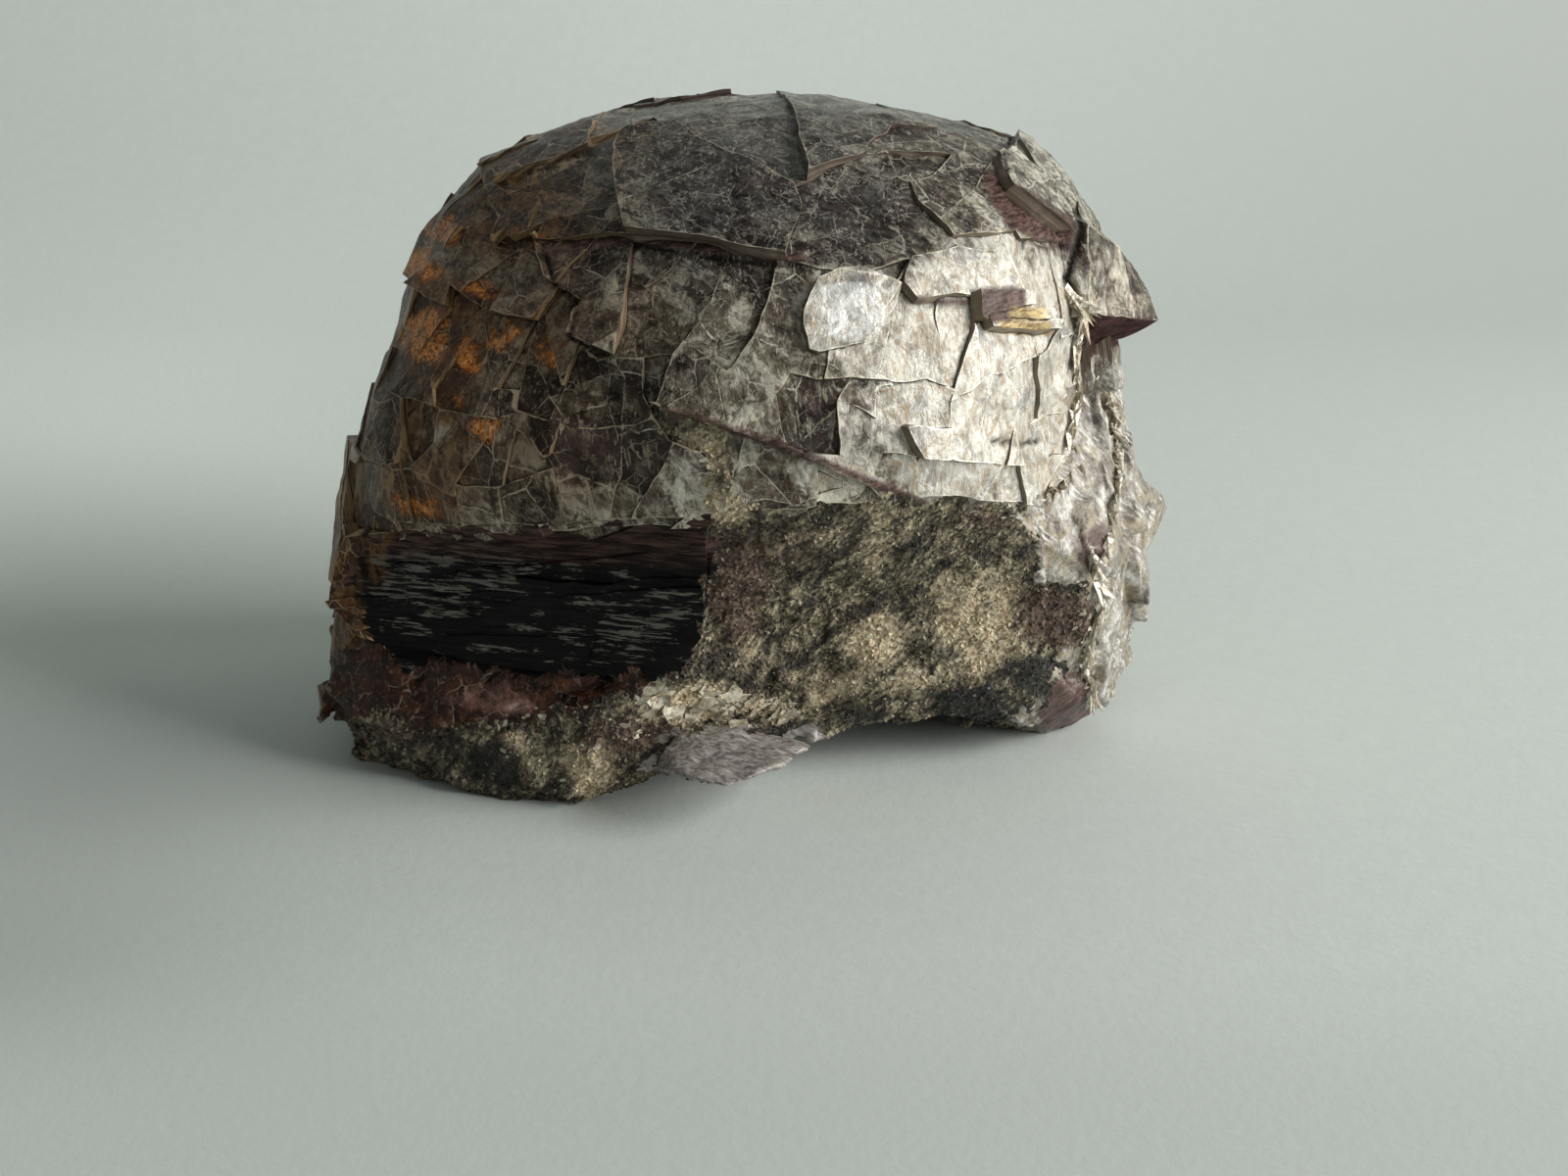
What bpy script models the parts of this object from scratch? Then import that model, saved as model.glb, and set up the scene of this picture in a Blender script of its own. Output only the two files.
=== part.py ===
"""Raw lepidolite: one hand specimen of intergrown mica books, built as one solid.

The stone is a shell around a core point.  A smooth form gives how far the surface
stands from the core in every direction.  The directions are cut into plates by
straight cracks, each plate gets its own level and tilt, and low walls join the
plates where they differ.  The fin, the spikes, the fan foot and the loose flakes
stand out from the shell, so they are separate hulls that are joined to it.
"""

import math
import random

import bmesh
import bpy
import numpy as np
from mathutils import Matrix, Vector, noise
from mathutils.bvhtree import BVHTree

NAME = "lepidolite"
SEED = 11

# Driving sizes in millimetres; the finished mesh is scaled to metres
STONE_WIDTH = 95.0
CORE_HEIGHT = 35.0
VIEW_DISTANCE = 245.0
VIEW_DROP = math.radians(20.0)
METRES = 0.001

# The front of the stone is placed along sight lines through a 1600 by 1200 picture
PICTURE_CENTRE = (800.0, 600.0)
CORE_PIXEL = (764.0, 433.0)
LEFT_PIXEL = 333.0
RIGHT_PIXEL = 1195.0
PIXEL = STONE_WIDTH / (RIGHT_PIXEL - LEFT_PIXEL)

CORE = Vector((0.0, 0.0, CORE_HEIGHT))
ACROSS = Vector((1.0, 0.0, 0.0))
FORWARD = Vector((0.0, math.cos(VIEW_DROP), -math.sin(VIEW_DROP)))
UPWARD = Vector((0.0, math.sin(VIEW_DROP), math.cos(VIEW_DROP)))
EYE = (CORE - FORWARD * VIEW_DISTANCE
       - ACROSS * (CORE_PIXEL[0] - PICTURE_CENTRE[0]) * PIXEL
       - UPWARD * (PICTURE_CENTRE[1] - CORE_PIXEL[1]) * PIXEL)

# The sheets of the books lie square to this direction
SHEET_FACING = Vector((0.05, -0.97, 0.22)).normalized()

# Points of the smooth form: picture x, picture y, and y in millimetres
DOME_LIP = [(380, 530, -18), (480, 535, -26), (600, 530, -31), (720, 520, -33),
            (850, 515, -32), (960, 505, -28), (1040, 515, -22), (1080, 480, -15)]
DOME_MIDDLE = [(385, 400, -12), (450, 400, -22), (600, 400, -30), (764, 400, -33),
               (900, 400, -31), (1020, 400, -24), (1095, 400, -12)]
DOME_UPPER = [(412, 300, -6), (500, 300, -18), (640, 300, -26), (800, 300, -29),
              (950, 300, -26), (1080, 300, -14)]
DOME_SHOULDER = [(450, 205, 0), (540, 200, -11), (700, 190, -19), (850, 190, -20),
                 (1000, 200, -15), (1095, 200, 0)]
PILLAR_RIDGE = [(1110, 500, -16), (1115, 600, -17), (1105, 700, -14)]
HOLLOW_FLOOR = [(760, 600, -27), (850, 640, -22), (950, 640, -20), (1030, 620, -18),
                (800, 730, -21), (900, 735, -19), (1000, 735, -16)]
CRUST_LOBE = [(345, 700, -13), (400, 740, -20), (500, 745, -25), (600, 760, -28),
              (650, 760, -27)]

# Outline of the stone without its fin, spikes and fan foot: picture x, picture y, first y
OUTLINE = [(346, 742, -10), (342, 702, -8), (345, 655, -6), (343, 600, -6), (350, 550, -4),
           (357, 500, -4), (368, 440, -4), (388, 385, -3), (408, 330, 0), (418, 280, 2),
           (440, 225, 4), (468, 185, 4), (510, 153, 4), (570, 133, 5), (640, 106, 5),
           (700, 97, 5), (770, 95, 5), (850, 101, 5), (930, 114, 5), (1000, 131, 5),
           (1062, 142, 6), (1100, 168, 4), (1110, 225, 0), (1122, 300, 2), (1130, 360, 4),
           (1142, 405, 5), (1150, 450, 6), (1162, 500, 8), (1160, 560, 8), (1162, 620, 7),
           (1158, 670, 6), (1145, 710, 5), (1126, 742, 2), (1092, 757, -6), (1040, 752, -10),
           (940, 746, -12), (860, 758, -14), (810, 768, -20), (690, 788, -28), (640, 797, -30),
           (580, 826, -26), (500, 812, -24), (430, 793, -22), (375, 771, -18)]
OUTLINE_ROUNDS = 8

# Points that the picture doesn't show, in millimetres
BACK_FORM = [(-36, 19, 7), (-39, 16, 30), (-33, 18, 50), (-18, 24, 60), (0, 30, 6),
             (0, 31, 35), (0, 26, 57), (22, 25, 58), (36, 20, 45), (39, 23, 25),
             (35, 22, 5), (18, 30, 20), (-18, 29, 25)]
UNDERSIDE = [(-20, -12, -1), (-24, 8, 1), (0, -4, 5), (20, 4, 6), (34, 0, -1),
             (33, 14, -1), (8, 23, -1), (-12, 21, 1)]

# Outlines of the zones in the picture
FACE_OUTLINE = [(372, 540), (480, 545), (600, 541), (720, 538), (716, 640), (690, 692),
                (560, 690), (470, 680), (380, 668), (365, 600)]
SHELF_OUTLINE = [(380, 668), (470, 680), (560, 690), (690, 692), (640, 716), (560, 724),
                 (450, 738), (345, 735), (340, 690)]
DOME_OUTLINE = [(360, 540), (372, 430), (413, 290), (460, 180), (620, 80), (1060, 120),
                (1097, 230), (1107, 300), (1102, 370), (1096, 400), (1091, 480),
                (1060, 515), (960, 506), (850, 516), (720, 522), (600, 532), (480, 536),
                (380, 531)]
HOLLOW_OUTLINE = [(720, 522), (850, 516), (960, 506), (1040, 512), (1080, 560),
                  (1075, 650), (1085, 757), (830, 790), (650, 800), (640, 716),
                  (690, 692), (716, 640)]
PILLAR_OUTLINE = [(1102, 370), (1096, 400), (1091, 480), (1060, 515), (1040, 512),
                  (1080, 560), (1075, 650), (1085, 757), (1220, 770), (1220, 380)]
SHEET_OUTLINE = [(520, 60), (1120, 60), (1110, 230), (1000, 232), (905, 268),
                 (849, 275), (789, 264), (724, 253), (642, 246), (558, 252), (500, 236)]
PEARL_OUTLINE = [(905, 268), (1000, 232), (1110, 230), (1107, 300), (1102, 370),
                 (1096, 400), (1091, 480), (1060, 515), (940, 508), (905, 430)]

# Sheet edges that stand proud: the side to the left of the way they run is the high one
LEDGES = [
    ([(558, 252), (642, 246), (724, 253), (789, 264), (849, 275)], 1.3, 15.0),
    ([(661, 117), (630, 158), (634, 198), (645, 246)], 0.7, 16.0),
    ([(800, 264), (816, 217), (809, 193), (767, 170)], 0.7, 12.0),
    ([(809, 193), (880, 160), (1012, 165)], 0.5, 8.0),
    ([(455, 286), (505, 321), (546, 328)], 0.9, 8.0),
    ([(555, 262), (565, 292), (620, 327), (634, 341)], 0.8, 8.0),
    ([(583, 344), (631, 366)], 0.6, 6.0),
    ([(683, 417), (760, 441), (810, 459), (881, 491), (897, 507)], 1.3, 14.0),
    ([(917, 464), (1062, 473)], 0.9, 10.0),
    ([(924, 266), (918, 293), (933, 309), (992, 303)], 0.9, 9.0),
    ([(955, 224), (971, 244), (1009, 244), (1033, 236), (1018, 199), (1005, 168)], 0.7, 7.0),
    ([(410, 403), (453, 416), (511, 426), (546, 451), (564, 469)], 0.7, 8.0),
    ([(1005, 168), (1022, 205), (1060, 227), (1092, 248), (1108, 300)], 2.0, 8.0),
]

# Cracks between plates of nearly the same height, as picture points
LEFT_CRACKS = [
    [(508, 253), (554, 256)],
    [(593, 311), (584, 345), (598, 354), (630, 368)],
    [(556, 317), (538, 355), (525, 418), (576, 430)],
    [(495, 325), (494, 345), (503, 380), (487, 422)],
    [(463, 321), (457, 357), (447, 388), (448, 414)],
    [(564, 469), (570, 438), (631, 433)],
    [(600, 376), (588, 398), (576, 436)],
    [(633, 440), (631, 473), (637, 483), (623, 523)],
    [(499, 424), (499, 449), (473, 485), (473, 520)],
    [(473, 489), (511, 495), (564, 477)],
    [(564, 469), (574, 501), (568, 517), (572, 533)],
    [(574, 501), (598, 503), (628, 500)],
    [(527, 440), (519, 467), (513, 493), (520, 532)],
    [(417, 407), (415, 453), (440, 489), (473, 507)],
    [(449, 416), (443, 483)],
    [(380, 470), (415, 470)],
    [(410, 330), (455, 357)],
]
MIDDLE_CRACKS = [
    [(644, 250), (636, 337), (629, 364), (638, 387), (631, 433)],
    [(629, 366), (669, 364), (700, 356)],
    [(726, 303), (715, 335), (702, 352), (728, 370), (747, 382), (767, 391)],
    [(792, 266), (782, 310), (765, 354), (744, 381)],
    [(772, 352), (778, 360), (767, 391)],
    [(778, 360), (797, 356), (822, 362)],
    [(822, 301), (816, 320), (822, 362), (793, 398), (801, 454)],
    [(772, 395), (761, 423), (759, 441)],
    [(759, 443), (755, 467), (738, 518)],
    [(656, 364), (654, 395), (661, 417), (686, 414), (723, 391), (728, 370)],
    [(663, 423), (680, 450), (719, 463), (742, 487)],
    [(728, 498), (694, 530)],
    [(755, 467), (826, 473), (870, 496), (836, 509), (747, 515)],
    [(636, 423), (639, 456), (627, 507)],
    [(805, 385), (851, 387), (904, 389), (933, 411), (966, 431)],
    [(814, 395), (855, 410), (905, 430)],
    [(830, 463), (899, 463)],
    [(905, 430), (899, 460), (885, 492)],
    [(703, 354), (726, 303)],
]
RIGHT_CRACKS = [
    [(995, 312), (982, 368), (966, 411), (966, 433), (955, 492), (957, 506)],
    [(918, 435), (966, 435), (982, 438)],
    [(918, 435), (928, 459)],
    [(974, 408), (1011, 382)],
    [(1011, 382), (1023, 382), (1068, 355), (1084, 328)],
    [(1023, 384), (1049, 430), (1057, 446), (1063, 468)],
    [(1050, 428), (1068, 398), (1076, 369)],
    [(933, 468), (934, 492), (944, 505)],
    [(1049, 430), (1090, 417)],
    [(1063, 468), (1079, 465), (1073, 500)],
    [(880, 463), (917, 464)],
]
UPPER_CRACKS = [
    [(574, 220), (561, 237), (557, 252)],
    [(535, 207), (509, 229), (507, 250), (555, 261)],
    [(581, 131), (531, 168), (488, 211), (486, 233), (479, 261)],
    [(494, 159), (496, 177), (462, 205)],
    [(767, 170), (720, 150), (661, 117)],
    [(882, 155), (908, 132), (955, 135), (960, 160)],
    [(908, 168), (913, 182), (926, 188), (937, 217), (926, 246)],
    [(926, 188), (949, 182), (964, 164)],
    [(935, 204), (969, 175), (1000, 170)],
    [(1004, 172), (971, 211), (955, 224)],
    [(924, 266), (966, 257), (1013, 257), (1018, 246)],
    [(1004, 170), (1022, 161), (1033, 135)],
    [(819, 123), (853, 138), (888, 146)],
]
CRACKS = LEFT_CRACKS + MIDDLE_CRACKS + RIGHT_CRACKS + UPPER_CRACKS

# Planes of the undercut face and of the shelf below it, each through three points,
# and picture points between which the smooth form follows them
FACE_PLANE = [(380, 545, -18.5), (715, 548, -30.0), (560, 690, -23.0)]
FACE_SPOTS = [(395, 570), (480, 580), (570, 590), (660, 590), (620, 650), (480, 650), (410, 630)]
SHELF_PLANE = [(380, 672, -17.0), (620, 700, -24.5), (450, 738, -22.5)]
SHELF_SPOTS = [(400, 705), (480, 710), (560, 705)]
PILLAR_SET_BACK = 2.2
HOLLOW_SET_BACK = 1.2

# Plates of each zone: length and width in millimetres, spread of their levels,
# tilt in degrees, and how flat they are from 0 to 1
ZONES = {
    "sheet": (17.0, 12.0, 0.06, 0.7, 0.4),
    "mosaic": (9.0, 7.5, 0.13, 2.4, 0.85),
    "pearl": (10.0, 8.0, 0.11, 1.8, 0.8),
    "face": (20.0, 5.0, 0.22, 0.6, 0.95),
    "shelf": (8.0, 5.0, 0.35, 4.0, 0.9),
    "hollow": (9.0, 7.5, 0.30, 4.0, 0.6),
    "crust": (8.5, 7.0, 0.30, 4.0, 0.6),
    "pillar": (9.0, 4.8, 0.45, 5.0, 0.85),
    "pages": (15.0, 4.8, 0.40, 2.0, 0.8),
    "back": (14.0, 10.0, 0.40, 2.5, 0.7),
    "base": (16.0, 14.0, 0.30, 2.0, 0.8),
}
# Terraces of the dome and lumps of the granular parts: height and length across
TERRACE_STEP = 0.22
TERRACE_LENGTH = 8.0
# The crest of the dome is worn: share of a plate's step and tilt that is left there
CREST_SHARE = 0.25
LUMP_HEIGHT = 0.9
LUMP_LENGTH = 8.5
BOOK_THICKNESS = 4.5
BOOK_SPREAD = 0.4
BOOK_COUNT = 30
# How the plates are cut: the size of a facet and the least area of a plate in millimetres,
# snap, crack step and crack gap on a ball of radius one, and the share of a plate's
# length between which a cut may fall
FACET = 11.0
SMALLEST_PLATE = 3.0
CUT_SNAP = 0.014
CRACK_STEP = 0.007
CRACK_GAP = 0.016
CUT_RATIO = 1.35
CUT_SHARES = (0.36, 0.64)
PLATE_WAVER = 14.0

# How plates settle: levels closer than this are one level, and no corner of a flat
# plate leaves the form by more than the limit
SAME_LEVEL = 0.10
LEVEL_LIMIT = 1.1
LEDGE_END = 12.0
FORM_SOFTNESS = 0.0006

# A point of the form further than this from the first one on its sight line is hidden;
# hidden parts are base, back or flank by the way they face
HIDDEN_GAP = 3.5
BASE_FACING = -0.75
BACK_FACING = 0.72
CRUST_TOP_PIXEL = 690

# Hulls that stand out from the shell: picture x, picture y, and y in millimetres
FIN = [(1060, 190, -8), (1110, 228, -9), (1140, 250, -5), (1166, 285, -2), (1183, 328, -3),
       (1112, 320, -12), (1070, 326, -12), (1100, 366, -4), (1062, 205, 10), (1115, 232, 7),
       (1150, 270, 5), (1164, 312, 2), (1110, 350, 7), (1050, 340, 8)]
SPIKE = [(1195, 518, 6), (1182, 540, 5), (1166, 576, 3), (1120, 560, -8), (1118, 480, -6),
         (1152, 474, 2), (1165, 503, 9), (1140, 480, 16), (1120, 560, 16), (1095, 520, 8)]
TOOTH = [(1177, 600, 3), (1168, 568, 6), (1162, 630, 2), (1120, 590, -10), (1118, 640, -10),
         (1120, 580, 16), (1115, 640, 14), (1090, 600, 4)]
FAN_FOOT = [(662, 783, -31), (700, 796, -34), (742, 804, -35), (800, 781, -32),
            (832, 762, -27), (780, 742, -24), (720, 735, -25), (690, 752, -27),
            (700, 770, -14), (800, 760, -14)]

# Loose flakes on the front: outlines in the picture, how far they stand out of the
# shell and how deep they are rooted in it
SILVER_FLAKE = [(834, 286), (819, 316), (817, 332), (823, 359), (832, 361), (880, 350),
                (896, 328), (909, 298), (916, 293), (900, 284), (874, 275), (852, 278)]
FLAKE_RISE = 0.9
FLAKE_ROOT = 2.0
SPLINTERS = [
    [(990, 298), (1045, 301), (1044, 314), (994, 328)],
    [(994, 312), (1065, 319), (1062, 328), (996, 330)],
    [(1000, 326), (1072, 330), (1071, 340), (1004, 338)],
]
SPLINTER_RISE = 1.5
SPLINTER_ROOT = 3.0


def sight(px, py):
    """Direction of the sight line through a picture point."""
    way = (FORWARD * VIEW_DISTANCE
           + ACROSS * (px - PICTURE_CENTRE[0]) * PIXEL
           + UPWARD * (PICTURE_CENTRE[1] - py) * PIXEL)
    return way.normalized()


def at_depth(px, py, y):
    """Point of a sight line at a given y."""
    way = sight(px, py)
    return EYE + way * ((y - EYE.y) / way.y)


def picture_point(point):
    """Where a point of the stone shows in the picture."""
    offset = point - EYE
    scale = VIEW_DISTANCE / (offset.dot(FORWARD) * PIXEL)
    return (PICTURE_CENTRE[0] + offset.dot(ACROSS) * scale,
            PICTURE_CENTRE[1] - offset.dot(UPWARD) * scale)


class Form:
    """The smooth form: how far the surface stands from the core in each direction."""

    def __init__(self, points):
        offsets = np.array([tuple(point - CORE) for point in points])
        lengths = np.linalg.norm(offsets, axis=1)
        self.ways = offsets / lengths[:, None]
        count = len(points)
        system = np.zeros((count + 4, count + 4))
        system[:count, :count] = self.bend(self.ways) + FORM_SOFTNESS * np.eye(count)
        system[:count, count] = 1.0
        system[:count, count + 1:] = self.ways
        system[count:, :count] = system[:count, count:].T
        self.weights = np.linalg.solve(system, np.append(lengths, np.zeros(4)))

    def bend(self, ways):
        """Cubed distances between directions and the form's own directions."""
        gaps = ways[:, None, :] - self.ways[None, :, :]
        return np.linalg.norm(gaps, axis=2) ** 3

    def reaches(self, ways):
        """Distances from the core for an array of directions."""
        count = len(self.ways)
        flat = self.weights[count] + ways @ self.weights[count + 1:]
        return self.bend(ways) @ self.weights[:count] + flat

    def reach(self, way):
        """Distance from the core in one direction."""
        return float(self.reaches(np.array([tuple(way)]))[0])

    def clearances(self, px, py):
        """Points along a sight line above the floor, and how far each is off the form."""
        way = np.array(tuple(sight(px, py)))
        steps = np.arange(VIEW_DISTANCE - 60.0, VIEW_DISTANCE + 60.0, 0.4)
        points = np.array(tuple(EYE)) + steps[:, None] * way
        points = points[points[:, 2] >= 0.0]
        offsets = points - np.array(tuple(CORE))
        lengths = np.linalg.norm(offsets, axis=1)
        return points, lengths - self.reaches(offsets / lengths[:, None])

    def seen(self, px, py):
        """First point of the form on a sight line, or None if the line misses it."""
        points, gaps = self.clearances(px, py)
        if gaps.min() > 0.0:
            return None
        return Vector(points[(gaps < 0.0).argmax()])

    def nearest(self, px, py):
        """Point of a sight line that is deepest in the form or nearest to it."""
        points, gaps = self.clearances(px, py)
        return Vector(points[gaps.argmin()])


def fit_outline(points):
    """The form through the given points whose outline touches the traced sight lines."""
    edge = [at_depth(*row) for row in OUTLINE]
    for _ in range(OUTLINE_ROUNDS):
        form = Form(points + edge)
        edge = [(old + form.nearest(px, py)) / 2.0 for old, (px, py, _) in zip(edge, OUTLINE)]
    return Form(points + edge)


def on_plane(px, py, point, normal):
    """Where a sight line meets a plane."""
    way = sight(px, py)
    return EYE + way * ((point - EYE).dot(normal) / way.dot(normal))


def plane_through(rows):
    """Point and outward normal of the plane through three picture points."""
    first, second, third = [at_depth(*row) for row in rows]
    normal = (second - first).cross(third - first).normalized()
    if normal.dot(first - CORE) < 0.0:
        normal.negate()
    return first, normal


def inside_outline(spot, outline):
    """True where a picture point lies in a closed outline."""
    x, y = spot
    inside = False
    for (ax, ay), (bx, by) in zip(outline, outline[1:] + outline[:1]):
        if (ay > y) != (by > y) and x < ax + (y - ay) * (bx - ax) / (by - ay):
            inside = not inside
    return inside


class Stone:
    """The form with its zones, ledges and recessed planes."""

    def __init__(self, chance):
        seen_rows = (DOME_LIP + DOME_MIDDLE + DOME_UPPER + DOME_SHOULDER
                     + PILLAR_RIDGE + HOLLOW_FLOOR + CRUST_LOBE)
        points = [at_depth(*row) for row in seen_rows]
        points += [Vector(row) for row in BACK_FORM + UNDERSIDE]
        self.planes = {"face": plane_through(FACE_PLANE), "shelf": plane_through(SHELF_PLANE)}
        points += [on_plane(*spot, *self.planes["face"]) for spot in FACE_SPOTS]
        points += [on_plane(*spot, *self.planes["shelf"]) for spot in SHELF_SPOTS]
        self.form = fit_outline(points)
        self.known_zones = {}
        self.books = [chance.gauss(0.0, BOOK_SPREAD) for _ in range(BOOK_COUNT)]

    def zone(self, way):
        """Name of the zone that a direction meets."""
        key = (round(way.x, 3), round(way.y, 3), round(way.z, 3))
        if key not in self.known_zones:
            self.known_zones[key] = self.find_zone(way)
        return self.known_zones[key]

    def find_zone(self, way):
        point = CORE + way * self.form.reach(way)
        spot = picture_point(point)
        first = self.form.seen(*spot)
        if first is not None and (first - point).length < HIDDEN_GAP:
            rows = (("face", FACE_OUTLINE), ("shelf", SHELF_OUTLINE), ("sheet", SHEET_OUTLINE),
                    ("pearl", PEARL_OUTLINE), ("mosaic", DOME_OUTLINE),
                    ("hollow", HOLLOW_OUTLINE), ("pillar", PILLAR_OUTLINE))
            for name, outline in rows:
                if inside_outline(spot, outline):
                    return name
            if spot[1] > CRUST_TOP_PIXEL:
                return "crust"
        if way.z < BASE_FACING:
            return "base"
        return "back" if abs(way.dot(SHEET_FACING)) > BACK_FACING else "pages"

    def grain(self, way, zone):
        """Direction along which a zone's plates are long."""
        if zone in ("mosaic", "pearl", "pillar"):
            return Vector((0.15, 0.0, 1.0))
        if zone == "pages":
            return way.cross(SHEET_FACING)
        if zone in self.planes:
            return self.planes[zone][1].cross(Vector((0.0, 0.0, 1.0)))
        return Vector((1.0, 0.1, 0.15))

    def step(self, way, zone):
        """How far the book or terrace that a plate belongs to stands out."""
        offset = way * self.form.reach(way)
        if zone == "pages":
            return self.books[int(offset.dot(SHEET_FACING) / BOOK_THICKNESS + BOOK_COUNT / 2)]
        if zone in ("sheet", "mosaic", "pearl"):
            return TERRACE_STEP * round(3.0 * noise.noise(offset / TERRACE_LENGTH))
        return 0.0

    def crest(self, way):
        """Share of its step and tilt that a plate keeps: less of it on the worn crest."""
        turned = max(0.0, abs(way.dot(FORWARD) - 0.08) - 0.30) / 0.15
        low = max(0.0, 0.35 - way.z) / 0.15
        return min(1.0, CREST_SHARE + turned + low)

    def level(self, way, zone, plate_spot):
        """Distance from the core of a plate's undisturbed surface."""
        reach = self.form.reach(way)
        if zone in self.planes:
            point, normal = self.planes[zone]
            flat = (point - CORE).dot(normal) / max(way.dot(normal), 0.2)
            return min(max(flat, reach - 7.0), reach + 2.5)
        if zone == "pillar":
            return reach - PILLAR_SET_BACK
        if zone in ("hollow", "crust"):
            lump = LUMP_HEIGHT * noise.noise(way * reach / LUMP_LENGTH)
            return reach + lump - (HOLLOW_SET_BACK if zone == "hollow" else 0.0)
        if zone in ("sheet", "mosaic", "pearl"):
            spot = picture_point(CORE + way * reach)
            return reach + sum(rise(ledge, spot, plate_spot) for ledge in LEDGES)
        return reach


def rise(ledge, spot, plate_spot):
    """Height that a ledge adds at a picture point, for a plate on its high side."""
    line, height, fade = ledge
    nearest = min(segment_gap(plate_spot, a, b) for a, b in zip(line, line[1:]))
    if nearest[1] >= 0.0 or nearest[2] in (0.0, 1.0) and nearest[0] > LEDGE_END:
        return 0.0
    gap = min(segment_gap(spot, a, b)[0] for a, b in zip(line, line[1:]))
    return height * max(0.0, 1.0 - gap * PIXEL / fade)


def segment_gap(spot, start, end):
    """Distance to a segment, side of it, and place along it."""
    dx, dy = end[0] - start[0], end[1] - start[1]
    wx, wy = spot[0] - start[0], spot[1] - start[1]
    place = min(max((wx * dx + wy * dy) / (dx * dx + dy * dy), 0.0), 1.0)
    gap = math.hypot(wx - place * dx, wy - place * dy)
    return gap, dx * wy - dy * wx, place


def way_of(vert):
    return vert.co.normalized()


def face_way(face):
    """Direction of the middle of a face."""
    middle = Vector()
    for vert in face.verts:
        middle += way_of(vert)
    return middle.normalized()


def middle_way(faces):
    """Direction of the middle of a group of faces."""
    return sum((face_way(face) * face.calc_area() for face in faces), Vector()).normalized()


def next_cut(faces, stone, chance, size=None):
    """Normal of the plane that should cut a group of faces next, or None if it is small."""
    middle = middle_way(faces)
    zone = stone.zone(middle)
    length, width = size or ZONES[zone][:2]
    along = stone.grain(middle, zone)
    along = (along - middle * along.dot(middle)).normalized()
    beside = middle.cross(along)
    reach = stone.form.reach(middle)
    points = [way_of(vert) * reach for face in faces for vert in face.verts]
    best, best_ratio, place = None, CUT_RATIO, 0.0
    for axis, limit in ((along, length), (beside, width)):
        places = [point.dot(axis) for point in points]
        ratio = (max(places) - min(places)) / limit
        if ratio > best_ratio:
            share = chance.uniform(*CUT_SHARES)
            best, best_ratio = axis, ratio
            place = min(places) + share * (max(places) - min(places))
    if best is None:
        return None
    target = middle * reach + best * (place - middle.dot(best) * reach)
    turn = Matrix.Rotation(math.radians(chance.gauss(0.0, PLATE_WAVER)), 3, middle)
    normal = turn @ best
    target.normalize()
    return (normal - target * normal.dot(target)).normalized()


def slice_face(mesh, face, normal):
    """Cut one face by a plane through the core and return the cut's edges."""
    parts = [face, *face.edges, *face.verts]
    cut = bmesh.ops.bisect_plane(mesh, geom=parts, dist=CUT_SNAP, plane_no=normal)
    return [part for part in cut["geom_cut"] if isinstance(part, bmesh.types.BMEdge)]


def cut_facets(mesh, stone, chance):
    """Cut every face across its longer way until it is no larger than a facet."""
    cuts = 1
    while cuts:
        cuts = 0
        for face in list(mesh.faces):
            normal = next_cut([face], stone, chance, (FACET, FACET))
            if normal is not None:
                cuts += len(slice_face(mesh, face, normal))


def crack(mesh, start, end):
    """Cut the faces that lie between two directions."""
    normal = start.cross(end).normalized()
    span = start.angle(end)
    mesh.faces.ensure_lookup_table()
    tree = BVHTree.FromBMesh(mesh)
    steps = max(2, int(span / CRACK_STEP))
    crossed = {tree.ray_cast(Vector(), start.slerp(end, (step + 0.5) / steps))[2]
               for step in range(steps)}
    for face in [mesh.faces[index] for index in sorted(crossed - {None})]:
        slice_face(mesh, face, normal)


def mark_crack(mesh, start, end):
    """Mark the edges that lie between two directions as a plate's boundary."""
    normal = start.cross(end).normalized()
    span = start.angle(end) + CRACK_GAP
    for edge in mesh.edges:
        first, second = way_of(edge.verts[0]), way_of(edge.verts[1])
        if max(abs(first.dot(normal)), abs(second.dot(normal))) < CRACK_GAP:
            middle = (first + second).normalized()
            if middle.angle(start) + middle.angle(end) < span:
                edge.seam = True
                edge.smooth = False


def crack_along(mesh, stone, line, closed=False):
    """Crack the shell along a line of picture points."""
    rows = line + line[:1] if closed else line
    points = [stone.form.seen(*row) for row in rows]
    ways = [(point - CORE).normalized() for point in points if point is not None]
    for step in (crack, mark_crack):
        for start, end in zip(ways, ways[1:]):
            step(mesh, start, end)


def crack_between_zones(mesh, stone):
    """Mark the edges between faces of different zones as a plate's boundary."""
    for edge in mesh.edges:
        first, second = [stone.zone(face_way(face)) for face in edge.link_faces]
        if first != second:
            edge.seam = True


def plate_groups(mesh):
    """Groups of faces that no boundary divides."""
    left = set(mesh.faces)
    groups = []
    for first in mesh.faces:
        if first not in left:
            continue
        left.remove(first)
        group = [first]
        for face in group:
            near = {other for edge in face.edges if not edge.seam for other in edge.link_faces}
            fresh = sorted(near & left, key=lambda other: other.index)
            left.difference_update(fresh)
            group += fresh
        groups.append(group)
    return groups


def cut_large_plates(mesh, stone, chance):
    """Cut plates across their longer way until each fits its zone."""
    cuts = 1
    while cuts:
        cuts = 0
        mesh.faces.index_update()
        for faces in plate_groups(mesh):
            normal = next_cut(faces, stone, chance)
            if normal is None:
                continue
            for face in faces:
                for edge in slice_face(mesh, face, normal):
                    edge.seam = True
                    cuts += 1


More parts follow.
